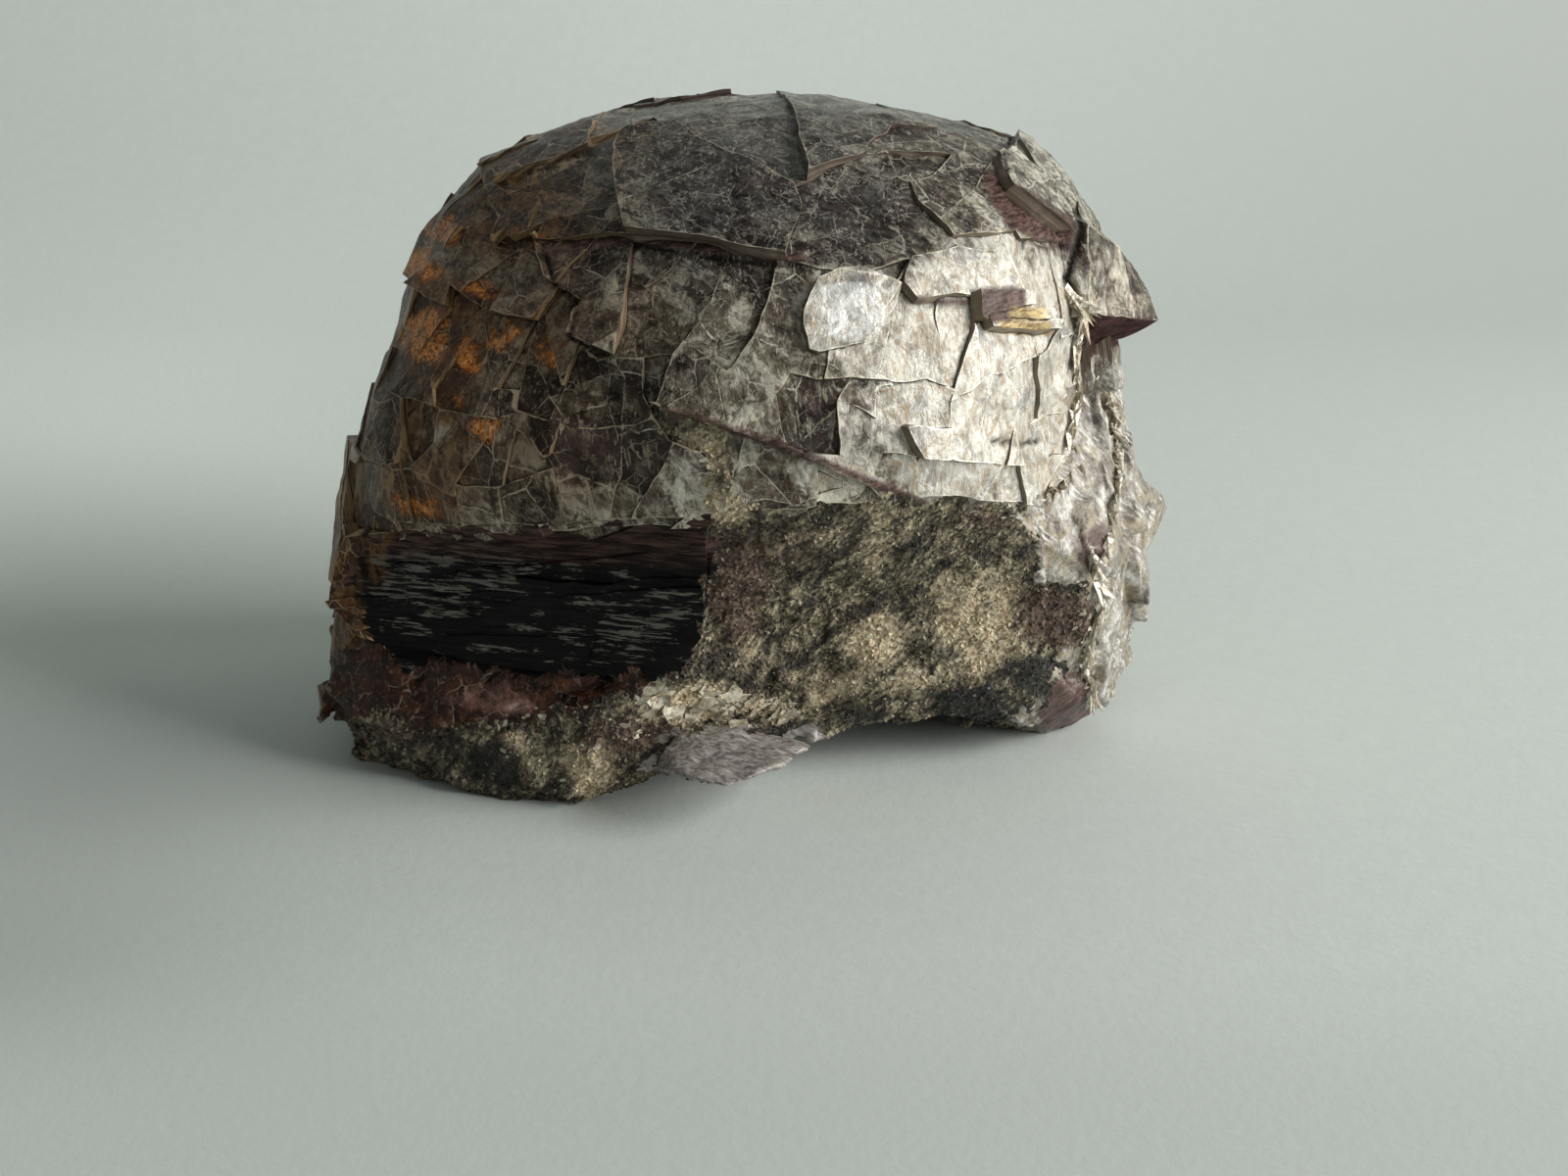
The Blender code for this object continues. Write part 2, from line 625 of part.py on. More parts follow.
def number_plates(mesh, stone):
    """Number the plates, a sliver with the neighbour that it shares most edge with."""
    plates = mesh.faces.layers.int.new("plate")
    groups = plate_groups(mesh)
    for number, faces in enumerate(groups):
        for face in faces:
            face[plates] = number
    for number, faces in enumerate(groups):
        scale = stone.form.reach(middle_way(faces)) / faces[0].calc_center_median().length
        if sum(face.calc_area() for face in faces) * scale ** 2 > SMALLEST_PLATE:
            continue
        shared = {}
        for edge in {edge for face in faces for edge in face.edges}:
            for other in edge.link_faces:
                if other[plates] != number:
                    key = (edge.smooth, other[plates])
                    shared[key] = shared.get(key, 0.0) + edge.calc_length()
        if shared:
            host = max(shared, key=lambda key: (key[0], shared[key]))[1]
            for face in faces:
                face[plates] = host


def cut_plates(stone, chance):
    """A ball whose faces, seen from its middle, are the stone's plates and their facets."""
    mesh = bmesh.new()
    bmesh.ops.create_cube(mesh, size=2.0)
    cut_facets(mesh, stone, chance)
    for vert in mesh.verts:
        vert.co.normalize()
    for outline in (FACE_OUTLINE, SHELF_OUTLINE):
        crack_along(mesh, stone, outline, closed=True)
    crack_along(mesh, stone, DOME_OUTLINE[6:])
    crack_along(mesh, stone, PILLAR_OUTLINE[3:8])
    for line, _, _ in LEDGES:
        crack_along(mesh, stone, line)
    for line in CRACKS:
        crack_along(mesh, stone, line)
    crack_between_zones(mesh, stone)
    cut_large_plates(mesh, stone, chance)
    number_plates(mesh, stone)
    return mesh


def plate_levels(mesh, stone, chance):
    """Distance from the core of each plate at each of its corners."""
    plates = mesh.faces.layers.int["plate"]
    groups = {}
    for face in mesh.faces:
        groups.setdefault(face[plates], []).append(face)
    levels = {}
    for number, faces in sorted(groups.items()):
        middle = middle_way(faces)
        zone = stone.zone(middle)
        spot = picture_point(CORE + middle * stone.form.reach(middle))
        verts = sorted({vert for face in faces for vert in face.verts}, key=lambda v: v.index)
        bare = {vert: stone.level(way_of(vert), zone, spot) for vert in verts}
        spread, tilt, flatness = ZONES[zone][2:]
        crest = stone.crest(middle)
        shift = crest * (chance.gauss(0.0, spread) + stone.step(middle, zone))
        points = np.array([tuple(way_of(vert) * bare[vert]) for vert in verts])
        centre = Vector(points.mean(axis=0))
        normal = Vector(np.linalg.svd(points - points.mean(axis=0))[2][2])
        if normal.dot(middle) < 0.0:
            normal.negate()
        lean = Vector((chance.gauss(0, 1), chance.gauss(0, 1), chance.gauss(0, 1)))
        normal = (normal + lean * math.tan(math.radians(tilt)) * 0.6 * crest).normalized()
        for vert in verts:
            way = way_of(vert)
            flat = centre.dot(normal) / max(way.dot(normal), 0.3)
            flat = min(max(flat, bare[vert] - LEVEL_LIMIT), bare[vert] + LEVEL_LIMIT)
            levels[vert, number] = shift + bare[vert] + flatness * (flat - bare[vert])
    return levels


def settle_corner(heights):
    """Join levels that nearly agree at a corner, or all of them where they would pinch."""
    ordered = sorted(set(heights))
    joined, start = {}, ordered[0]
    for height in ordered:
        if height - start > SAME_LEVEL:
            start = height
        joined[height] = start
    settled = [joined[height] for height in heights]
    for low, high in zip(sorted(set(settled)), sorted(set(settled))[1:]):
        above = [height > (low + high) / 2 for height in settled]
        turns = sum(one != two for one, two in zip(above, above[1:] + above[:1]))
        if turns > 2:
            return [sum(heights) / len(heights)] * len(heights)
    return settled


def faces_around(vert):
    """Faces at a vertex in the order in which they lie around it."""
    loop = vert.link_loops[0]
    ring = []
    for _ in range(len(vert.link_loops)):
        ring.append(loop.face)
        loop = loop.link_loop_prev.link_loop_radial_next
    return ring


def settle_levels(mesh, levels):
    """Settle the levels of all plates at every corner."""
    plates = mesh.faces.layers.int["plate"]
    for vert in mesh.verts:
        ring = [face[plates] for face in faces_around(vert)]
        settled = settle_corner([levels[vert, plate] for plate in ring])
        for plate, height in zip(ring, settled):
            levels[vert, plate] = height


def meeting_place(start, end, levels, first, second):
    """Where the edges of two plates cross between two corners: share and distance."""
    ways = (way_of(start), way_of(end))
    beside = (ways[1] - ways[0] * ways[1].dot(ways[0])).normalized()
    rows = []
    for plate in (first, second):
        a = ways[0] * levels[start, plate]
        b = ways[1] * levels[end, plate]
        rows.append(((a.dot(ways[0]), a.dot(beside)), (b.dot(ways[0]), b.dot(beside))))
    (ax, ay), (bx, by) = rows[0]
    (cx, cy), (dx, dy) = rows[1]
    cross = (bx - ax) * (dy - cy) - (by - ay) * (dx - cx)
    share = ((cx - ax) * (dy - cy) - (cy - ay) * (dx - cx)) / cross
    point = ways[0] * (ax + share * (bx - ax)) + beside * (ay + share * (by - ay))
    sides = np.array([tuple(start.co), tuple(end.co)]).T
    parts = np.linalg.lstsq(sides, np.array(tuple(point)), rcond=None)[0]
    return float(parts[1] / parts.sum()), point.length


def split_crossings(mesh, levels):
    """Add a corner wherever the edges of two neighbouring plates cross."""
    plates = mesh.faces.layers.int["plate"]
    for edge in list(mesh.edges):
        first, second = [face[plates] for face in edge.link_faces]
        start, end = edge.verts
        gap_start = levels[start, first] - levels[start, second]
        gap_end = levels[end, first] - levels[end, second]
        if gap_start * gap_end >= 0.0:
            continue
        share, distance = meeting_place(start, end, levels, first, second)
        vert = bmesh.utils.edge_split(edge, start, share)[1]
        levels[vert, first] = distance
        levels[vert, second] = distance


def strip(left, right):
    """Triangles between two chains of corners on neighbouring rays."""
    faces = []
    i = j = 0
    while i < len(left) - 1 or j < len(right) - 1:
        more_left = (i + 1) / len(left) <= (j + 1) / len(right)
        if j == len(right) - 1 or i < len(left) - 1 and more_left:
            faces.append((left[i], left[i + 1], right[j]))
            i += 1
        else:
            faces.append((left[i], right[j + 1], right[j]))
            j += 1
    return faces


def spread_area(points):
    """Area of a flat polygon divided by the square of its longest side."""
    total = Vector()
    for before, after in zip(points, points[1:] + points[:1]):
        total += before.cross(after)
    longest = max((a - b).length for a, b in zip(points, points[1:] + points[:1]))
    return total.length / 2.0 / longest ** 2


def triangles(verts):
    """Triangles of a convex plate, none of them along one straight side."""
    if len(verts) == 3:
        return [verts]
    options = []
    for i in range(len(verts)):
        for j in range(i + 2, len(verts) - (i == 0)):
            halves = (verts[i:j + 1], verts[j:] + verts[:i + 1])
            thinnest = min(spread_area([vert.co for vert in half]) for half in halves)
            options.append((thinnest, i, j))
    _, i, j = max(options)
    return triangles(verts[i:j + 1]) + triangles(verts[j:] + verts[:i + 1])


def build_shell(mesh, levels):
    """The closed shell: plate tops, and walls where neighbouring plates differ."""
    plates = mesh.faces.layers.int["plate"]
    shell = bmesh.new()
    corners = {}

    def corner(vert, height):
        key = (vert, round(height, 5))
        if key not in corners:
            corners[key] = shell.verts.new(CORE + way_of(vert) * height)
        return corners[key]

    def chain(vert, high, low):
        """Corners on one ray from one level to another, with those between them."""
        between = {levels[vert, face[plates]] for face in vert.link_faces}
        inner = [height for height in between if min(high, low) < height < max(high, low)]
        heights = [high, *sorted(inner, reverse=high > low)]
        if low != high:
            heights.append(low)
        return [corner(vert, height) for height in heights]

    for face in mesh.faces:
        for trio in triangles(face.verts[:]):
            shell.faces.new([corner(vert, levels[vert, face[plates]]) for vert in trio])
        for loop in face.loops:
            other = loop.link_loop_radial_next.face
            if other.index < face.index or other[plates] == face[plates]:
                continue
            start, end = loop.vert, loop.link_loop_next.vert
            left = chain(start, levels[start, face[plates]], levels[start, other[plates]])
            right = chain(end, levels[end, face[plates]], levels[end, other[plates]])
            for trio in strip(left, right):
                shell.faces.new(trio)
    return shell


def hull_object(name, points, collection):
    """A closed hull around points, kept as a guide for a Boolean."""
    hull = bmesh.new()
    for point in points:
        hull.verts.new(point)
    found = bmesh.ops.convex_hull(hull, input=hull.verts[:])
    loose = [part for part in found["geom_interior"] if isinstance(part, bmesh.types.BMVert)]
    bmesh.ops.delete(hull, geom=loose, context="VERTS")
    bmesh.ops.recalc_face_normals(hull, faces=hull.faces[:])
    return mesh_object(name, hull, collection, guide=True)


def mesh_object(name, mesh, collection, guide=False):
    data = bpy.data.meshes.new(name)
    mesh.to_mesh(data)
    mesh.free()
    thing = bpy.data.objects.new(name, data)
    thing.hide_render = guide
    thing.display_type = "WIRE" if guide else "TEXTURED"
    collection.objects.link(thing)
    return thing


def raised_points(stone, outline, rise, root):
    """Corners of a flake that stands out of the shell at picture points."""
    points = []
    for px, py in outline:
        seat = stone.form.seen(px, py)
        outward = (seat - CORE).normalized()
        points += [seat + outward * rise, seat - outward * root]
    return points


def join(stone_object, other, operation):
    step = stone_object.modifiers.new(other.name, "BOOLEAN")
    step.operation = operation
    step.object = other
    step.solver = "EXACT"


def floor_cutter(collection):
    """The block that cuts the stone flat where it stands."""
    block = bmesh.new()
    bmesh.ops.create_cube(block, size=1.0)
    size = Vector((160.0, 160.0, 40.0))
    for vert in block.verts:
        vert.co = Vector(a * b for a, b in zip(vert.co, size)) - Vector((0.0, 0.0, size.z / 2))
    return mesh_object("floor_cutter", block, collection, guide=True)


def stone_material():
    """Slate-brown mica with a soft pearly gloss."""
    material = bpy.data.materials.new("lepidolite_mica")
    material.use_nodes = True
    shader = material.node_tree.nodes["Principled BSDF"]
    shader.inputs["Base Color"].default_value = (0.16, 0.13, 0.12, 1.0)
    shader.inputs["Roughness"].default_value = 0.45
    shader.inputs["Metallic"].default_value = 0.0
    return material


def new_collection(name):
    collection = bpy.data.collections.new(name)
    bpy.context.scene.collection.children.link(collection)
    return collection


def linked_verts(first):
    """All vertices that edges link to one vertex."""
    found, waiting = {first}, [first]
    while waiting:
        for edge in waiting.pop().link_edges:
            fresh = set(edge.verts) - found
            found |= fresh
            waiting += fresh
    return found


def keep_outer_skin(data):
    """Remove the small pockets that a hull closes off inside the stone."""
    mesh = bmesh.new()
    mesh.from_mesh(data)
    outermost = max(mesh.verts, key=lambda vert: vert.co.length)
    skin = linked_verts(outermost)
    pockets = [vert for vert in mesh.verts if vert not in skin]
    bmesh.ops.delete(mesh, geom=pockets, context="VERTS")
    mesh.to_mesh(data)
    mesh.free()


def finish(stone_object, guides):
    """Apply the joins, stand the stone on its bounds' bottom centre and scale all to metres."""
    graph = bpy.context.evaluated_depsgraph_get()
    whole = bpy.data.meshes.new_from_object(stone_object.evaluated_get(graph))
    stone_object.modifiers.clear()
    stone_object.data = whole
    keep_outer_skin(whole)
    corners = np.array([tuple(vert.co) for vert in whole.vertices])
    low, high = corners.min(axis=0), corners.max(axis=0)
    centre = Vector(((low[0] + high[0]) / 2, (low[1] + high[1]) / 2, low[2]))
    place = Matrix.Scale(METRES, 4) @ Matrix.Translation(-centre)
    whole.transform(place)
    for guide in guides.objects:
        guide.data.transform(place)
    whole.materials.clear()
    whole.materials.append(stone_material())


def build():
    for thing in list(bpy.data.objects):
        bpy.data.objects.remove(thing)
    parts = new_collection(NAME)
    guides = new_collection("guides")
    chance = random.Random(SEED)
    stone = Stone(chance)
    plates = cut_plates(stone, chance)
    plates.verts.index_update()
    levels = plate_levels(plates, stone, chance)
    settle_levels(plates, levels)
    split_crossings(plates, levels)
    plates.faces.index_update()
    stone_object = mesh_object(NAME, build_shell(plates, levels), parts)
    hulls = {
        "fin": [at_depth(*row) for row in FIN],
        "spike": [at_depth(*row) for row in SPIKE],
        "tooth": [at_depth(*row) for row in TOOTH],
        "fan_foot": [at_depth(*row) for row in FAN_FOOT],
        "silver_flake": raised_points(stone, SILVER_FLAKE, FLAKE_RISE, FLAKE_ROOT),
    }
    for number, outline in enumerate(SPLINTERS, 1):
        points = raised_points(stone, outline, SPLINTER_RISE, SPLINTER_ROOT)
        hulls[f"splinter_{number}"] = points
    for name, points in hulls.items():
        join(stone_object, hull_object(name, points, guides), "UNION")
    join(stone_object, floor_cutter(guides), "DIFFERENCE")
    finish(stone_object, guides)


build()
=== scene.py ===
"""Raw lepidolite: the looks of one hand specimen of intergrown mica books."""
import math

import bmesh
import bpy
import numpy as np
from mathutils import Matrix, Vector, noise
from mathutils.bvhtree import BVHTree
from mathutils.kdtree import KDTree


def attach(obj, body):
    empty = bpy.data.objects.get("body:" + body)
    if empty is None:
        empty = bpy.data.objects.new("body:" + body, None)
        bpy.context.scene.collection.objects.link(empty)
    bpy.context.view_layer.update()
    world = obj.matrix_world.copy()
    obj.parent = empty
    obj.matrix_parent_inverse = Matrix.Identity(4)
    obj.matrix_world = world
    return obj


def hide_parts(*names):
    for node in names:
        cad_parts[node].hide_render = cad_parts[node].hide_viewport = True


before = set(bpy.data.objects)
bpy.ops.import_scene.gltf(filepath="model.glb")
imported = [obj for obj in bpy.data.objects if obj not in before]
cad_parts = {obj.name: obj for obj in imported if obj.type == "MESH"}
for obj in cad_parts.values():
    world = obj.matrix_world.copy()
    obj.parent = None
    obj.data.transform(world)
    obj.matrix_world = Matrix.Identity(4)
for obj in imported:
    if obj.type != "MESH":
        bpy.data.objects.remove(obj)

NODE = "lepidolite"
MM = 0.001

# The photographed view, in millimetres: the eye, the middle of the stone and the
# size of one picture point where the view is framed
EYE = Vector((3.71, -235.18, 101.5))
CORE = Vector((-0.25, 1.34, 35))
VIEW_DROP = math.radians(20)
VIEW_DISTANCE = 245
PICTURE_CENTRE = (800, 600)
PICTURE_WIDTH = 1600
PIXEL = 95 / 862
SENSOR = 36
FORWARD = Vector((0, math.cos(VIEW_DROP), -math.sin(VIEW_DROP)))
UPWARD = Vector((0, math.sin(VIEW_DROP), math.cos(VIEW_DROP)))

# Regions of the front, outlined in picture points
HOLLOW_SIDE = [(722, 600), (712, 650), (692, 692)]
SHELF_FOOT = [(655, 712), (590, 722), (520, 738), (450, 740)]
PILLAR_SIDE = [(1040, 516), (1062, 545), (1046, 600), (1040, 680), (1036, 757), (1040, 900)]
BLACK_FACE = [(372, 541), (480, 543), (600, 539), (727, 534), *HOLLOW_SIDE, (660, 690), (560, 690),
    (470, 680), (388, 669), (372, 640), (362, 600)]
RED_SHELF = [(330, 664), (388, 667), (470, 680), (560, 690), (660, 690), *SHELF_FOOT, (330, 728)]
GRANULAR = [(724, 520), (760, 530), (850, 518), (945, 508), *PILLAR_SIDE, (300, 900), (300, 726),
    *SHELF_FOOT[::-1], *HOLLOW_SIDE[::-1]]
FAN = [(655, 778), (700, 748), (760, 738), (838, 752), (835, 775), (790, 800), (740, 815),
    (680, 800)]
PILLAR = [(1102, 372), (1096, 400), (1091, 480), (1062, 512), *PILLAR_SIDE, (1260, 900),
    (1260, 372)]
BORDER_WANDER = 16

# Patches of the front, outlined in picture points: violet and gold have a colour of their own,
# shade is painted shade on the fin's underside
PATCHES = {
    "violet": [
        [(1104, 321), (1145, 324), (1186, 328), (1140, 352), (1096, 371)],
        [(1002, 172), (1022, 178), (1060, 200), (1100, 228), (1104, 262), (1066, 248),
         (1030, 232), (1010, 204)],
        [(991, 294), (1047, 294), (1047, 329), (993, 330)],
        [(1068, 702), (1086, 686), (1112, 684), (1120, 700), (1119, 738), (1100, 752),
         (1062, 744), (1056, 728)],
        [(1100, 548), (1128, 534), (1130, 566), (1112, 584), (1098, 572)]],
    "shade": [[(1104, 319), (1145, 323), (1190, 327), (1140, 356), (1090, 376)]],
    "gold": [[(1020, 328), (1074, 328), (1074, 342), (1020, 342)],
             [(1030, 313), (1068, 314), (1068, 328), (1030, 328)]]}
CRUST_PATCHES = [
    [(672, 424), (700, 430), (742, 448), (744, 478), (752, 500), (728, 508), (716, 472),
     (692, 452)],
    [(712, 508), (745, 500), (772, 516), (760, 540), (724, 536)],
    [(1022, 596), (1062, 590), (1098, 598), (1112, 605), (1102, 614), (1124, 625), (1108, 636),
     (1126, 646), (1106, 653), (1112, 666), (1080, 666), (1046, 656), (1028, 650)],
    [(1026, 655), (1096, 664), (1088, 684), (1068, 700), (1058, 722), (1040, 742), (1026, 742)]]
PATCH_EDGE = 3

# Fine lines of the front: corners in picture points, and half the width
CRACK_LINES = [
    ([(1099, 214), (1103, 232), (1095, 262), (1088, 285), (1102, 312), (1112, 322)], 4),
    ([(1012, 450), (1035, 452), (1058, 451)], 2.5),
    ([(1033, 140), (1024, 158), (1028, 176)], 2),
    ([(640, 249), (700, 258), (760, 268), (818, 272)], 2),
    ([(557, 262), (566, 292), (590, 306), (581, 344), (628, 366)], 2)]
LATH_LINES = [
    ([(678, 418), (750, 439), (818, 462), (890, 492), (948, 516)], 5),
    ([(557, 256), (640, 245), (727, 254), (818, 264)], 3.5),
    ([(934, 306), (992, 309)], 4.5)]
LINE_EDGE = 0.3
LINE_GROWTH = 0.5
CRACK_DEPTH = 0.3
LATH_HEIGHT = 0.22

# Soft spots of colour. First the noise on the far side: its size in millimetres, its
# shift, gain, level and ceiling. Then the front's spots: x, y, half width, half height
# and strength
SPOTS = {
    # pearl: the silver mica's own colour together with a painted sheen where the plates face the
    # window
    "pearl": ((16, 20, 2.4, -0.35, 0.48), (1015, 320, 100, 75, 1), (1040, 420, 80, 110, 1),
        (965, 460, 60, 55, 0.78), (868, 318, 46, 44, 1.3), (930, 390, 60, 62, 0.76),
        (850, 425, 50, 30, 0.42), (850, 488, 55, 20, 0.65), (545, 395, 22, 28, 0.35),
        (1150, 285, 60, 60, 0.42), (1040, 165, 60, 35, 0.25), (990, 205, 50, 40, 0.3),
        (440, 445, 25, 15, 0.35), (690, 482, 40, 34, 0.34), (762, 320, 26, 40, 0.25),
        (640, 398, 40, 20, 0.22), (930, 195, 50, 30, 0.2)),
    "slate": ((18, 30, 2, 0.4, 1), (745, 195, 110, 75, 1), (870, 215, 70, 60, 0.9),
        (690, 290, 50, 35, 0.4), (800, 130, 170, 40, 0.6), (720, 380, 60, 30, 0.3),
        (700, 485, 60, 35, 0.4), (620, 480, 40, 40, 0.3), (850, 450, 70, 30, 0.7),
        (460, 430, 40, 30, 0.4)),
    "brown": ((15, 40, 2, 0.3, 1), (520, 215, 95, 75, 1), (440, 340, 80, 100, 1),
        (430, 460, 80, 90, 0.9), (560, 320, 60, 90, 0.7), (560, 460, 90, 70, 0.6),
        (590, 150, 60, 40, 0.6), (352, 600, 42, 130, 1), (640, 320, 50, 50, 0.4)),
    "stain": ((9, 50, 3, -1.1, 0.55), (425, 268, 26, 26, 0.9), (452, 236, 24, 18, 0.9),
        (437, 343, 30, 30, 1), (484, 366, 20, 26, 0.9), (516, 342, 22, 22, 1),
        (489, 298, 26, 12, 0.8), (495, 436, 22, 16, 1), (562, 362, 20, 18, 0.7),
        (452, 405, 30, 16, 0.6), (430, 515, 40, 18, 0.8), (545, 240, 40, 14, 0.5),
        (388, 560, 10, 30, 0.5), (352, 600, 14, 60, 0.45), (350, 480, 14, 40, 0.4)),
    "tan": ((10, 60, 3, -0.3, 1), (1000, 640, 48, 60, 1), (890, 655, 30, 32, 1),
        (960, 580, 50, 50, 0.5), (600, 785, 34, 32, 1), (528, 765, 26, 22, 0.9),
        (440, 770, 26, 16, 0.5), (700, 718, 60, 24, 1), (780, 728, 40, 16, 0.8),
        (870, 555, 90, 26, 0.6), (840, 700, 40, 20, 0.8), (930, 700, 30, 26, 0.8),
        (765, 655, 26, 20, 0.7), (735, 520, 40, 20, 1), (900, 520, 60, 14, 0.6),
        (715, 460, 50, 40, 1)),
    "ink": ((8, 70, 3, -0.4, 1), (1000, 722, 90, 24, 1), (795, 745, 50, 14, 1),
        (880, 735, 50, 20, 0.7), (930, 560, 30, 20, 0.7), (830, 590, 30, 24, 0.6),
        (960, 668, 22, 12, 0.8), (505, 780, 40, 22, 0.9), (440, 760, 50, 18, 0.7),
        (1045, 560, 14, 30, 0.6), (1062, 692, 44, 26, 1), (870, 688, 40, 10, 0.7),
        (560, 800, 40, 14, 0.5)),
    "umber": ((12, 80, 3, -0.4, 1), (755, 600, 36, 70, 1), (1078, 628, 46, 32, 1.2),
        (700, 680, 30, 20, 0.6), (640, 745, 60, 26, 0.9), (420, 745, 70, 26, 0.7),
        (800, 560, 60, 30, 0.7), (1000, 530, 40, 12, 0.8)),
    "glint": ((1, 0, 0, 0, 0), (500, 712, 50, 22, 0.75), (528, 720, 22, 10, 1.1),
        (600, 708, 26, 10, 0.5), (400, 690, 40, 10, 0.3)),
    "dash": ((1, 0, 0, 0, 0), (440, 585, 78, 44, 1), (655, 630, 74, 26, 1),
        (560, 648, 70, 20, 0.6), (420, 648, 60, 18, 0.5), (600, 585, 70, 16, 0.4),
        (640, 672, 50, 10, 0.5))}
SPOT_WANDER = 12

# Pale sheets that lie loose on the stone: middle and half sizes of the area in
# picture points, how many, and the largest sheet in millimetres
SHEET_AREAS = [(700, 716, 62, 20, 44, 3), (775, 728, 44, 14, 26, 2.4), (600, 784, 32, 26, 26, 1.1),
    (528, 764, 24, 18, 16, 0.9), (1000, 640, 38, 46, 36, 0.9), (890, 655, 24, 26, 20, 0.8),
    (930, 702, 34, 20, 20, 1), (560, 730, 70, 10, 18, 0.9), (1020, 520, 30, 10, 12, 0.9),
    (1110, 640, 14, 70, 30, 1.3), (650, 742, 30, 12, 14, 1.4), (712, 455, 22, 18, 16, 1.1),
    (738, 520, 22, 12, 14, 1)]
SHEET_THICKNESS = 0.11
SHEET_LEAN = 0.22
SHEET_LIFT = (-0.1, 0.12)

# Serrated pearly ridge down the pillar, in picture points
RIDGE_LINES = [
    [(1122, 384), (1134, 410), (1140, 440), (1139, 486), (1132, 524), (1127, 562)],
    [(1110, 556), (1119, 590), (1123, 621), (1112, 650), (1106, 678), (1114, 706), (1119, 738)],
    [(1086, 294), (1106, 318), (1095, 366), (1100, 401), (1091, 444), (1087, 489), (1073, 500)]]

# Share of the view from which a point counts as part of the front
FRONT = 0.6

# The refined skin, in millimetres
SHARP_ANGLE = math.radians(20)
WALL_SLANT = 0.22
LOW_CRUST = 16
FINE_EDGE = 0.62
FINE_GROWTH = 0.75
PLATE_EDGE = 1.75
GRAIN_EDGE = 1.05
HIDDEN_SCALE = 2.2
REFINE_ROUNDS = 7
SAMPLE_STEP = 0.12
RELAX_ROUNDS = 4
WARP = [(3.6, 0.3), (1.3, 0.12)]

# Relief in millimetres: height, length and shift of each noise
RIPPLES = (0.06, 2.4, 7)
ROUGH = (0.34, 2.2, 3)
FINE_ROUGH = (0.2, 1.1, 5)
LUMP = (0.55, 2.8, 13)
LUMP_LEVEL = 0.4
FINE_LUMP = (0.22, 1.2, 15)
STRIPES = (0.26, 1, 9)
STRIPE_STRETCH = (0.14, 0.14, 1.1)

# Sizes of the pieces that are strewn, in metres, and the spans of their turns and scales
GRAIN_RADIUS = 0.00025
GRAIN_SIZES = {"Grains a square metre": 2.5e6, "Radius": GRAIN_RADIUS, "Depth": 0.00016}
GRAIN_SPANS = (((-0.9, -0.9, 0), (0.9, 0.9, 6.28)), ((0.5, 0.45, 0.5), (1.55, 1.1, 1.6)))
BLADE_SIZES = {"Blade width": 0.00055, "Blade height": 0.0019, "Step": 0.00022}
BLADE_SPANS = (((-0.5, -0.5, 0), (0.5, 0.5, 6.28)), ((0.25, 0.7, 0.6), (0.5, 1.7, 1.7)))

# Sizes of the cells in the finishes, in millimetres
FLAKE, CHIP, PANE, CRUMB = 4.3, 1.5, 2.2, 0.42

# Heights in metres between which the crown of the dome is painted darker, a painted shade
CROWN_HEIGHTS = (0.05, 0.06)
BOARD_COLOUR = (0.63, 0.678, 0.65)

# The window and the even fill, in metres and watts
WINDOW_PLACE = (1.22, -0.36, 0.5)
WINDOW_TARGET = (0, 0, 0.03)
WINDOW_SIZE = (0.9, 1)
WINDOW_POWER = 28.5
WINDOW_COLOUR = (1, 0.99, 0.96)
FILL_COLOUR = (0.82, 0.86, 0.83, 1)
FILL_STRENGTH = 0.2

# Numbers of the stone's finishes, and the starts of the random draws
PLATE, EDGE, BLACK, SHELF, CRUST, LUMPS, FOOT = range(7)
NOISE_SEED, TONE_SEED, GRAIN_SEED, BLADE_SEED, SHEET_SEED = 7, 4, 11, 31, 17


def unit(rows):
    """Rows of vectors at length one."""
    return rows / np.maximum(np.linalg.norm(rows, axis=1), 1e-12)[:, None]


def picture(points):
    """Picture x and y of each point."""
    offset = points - EYE
    scale = VIEW_DISTANCE / (offset @ FORWARD * PIXEL)
    return (PICTURE_CENTRE[0] + offset[:, 0] * scale,
            PICTURE_CENTRE[1] - offset @ UPWARD * scale)


def front_share(points):
    """One on the photographed side, zero on the far side, smooth between them."""
    facing = -(unit(points - CORE) @ FORWARD)
    return np.clip((facing + 0.45) / 0.35, 0, 1)


def inside(x, y, outline):
    """True where a picture point lies in a closed outline."""
    found = np.zeros(len(x), bool)
    for (ax, ay), (bx, by) in zip(outline, outline[1:] + outline[:1]):
        if ay != by:
            found ^= ((ay > y) != (by > y)) & (x < ax + (y - ay) * (bx - ax) / (by - ay))
    return found


def line_gap(x, y, line):
    """Distance from picture points to a line of straight stretches."""
    best = np.full(len(x), 1e9)
    for (ax, ay), (bx, by) in zip(line, line[1:]):
        dx, dy = bx - ax, by - ay
        along = np.clip(((x - ax) * dx + (y - ay) * dy) / (dx * dx + dy * dy), 0, 1)
        best = np.minimum(best, np.hypot(x - ax - along * dx, y - ay - along * dy))
    return best


def patch_mask(x, y, outlines):
    """One inside any of the outlines, with a soft edge."""
    mask = np.zeros(len(x))
    for outline in outlines:
        gap = line_gap(x, y, outline + outline[:1])
        gap = np.where(inside(x, y, outline), -gap, gap)
        mask = np.maximum(mask, np.clip(0.5 - gap / PATCH_EDGE, 0, 1))
    return mask


def line_mask(x, y, lines):
    """One along the middle of any of the lines, zero beside them."""
    mask = np.zeros(len(x))
    for line, half in lines:
        mask = np.maximum(mask, np.clip(1.4 - line_gap(x, y, line) / half, 0, 1))
    return mask


def spot_mask(x, y, spots):
    """Strongest of a list of soft spots at each picture point."""
    mask = np.zeros(len(x))
    for sx, sy, width, height, strength in spots:
        gap = np.hypot((x - sx) / width, (y - sy) / height)
        mask = np.maximum(mask, strength * np.clip(1.5 - gap, 0, 1))
    return mask


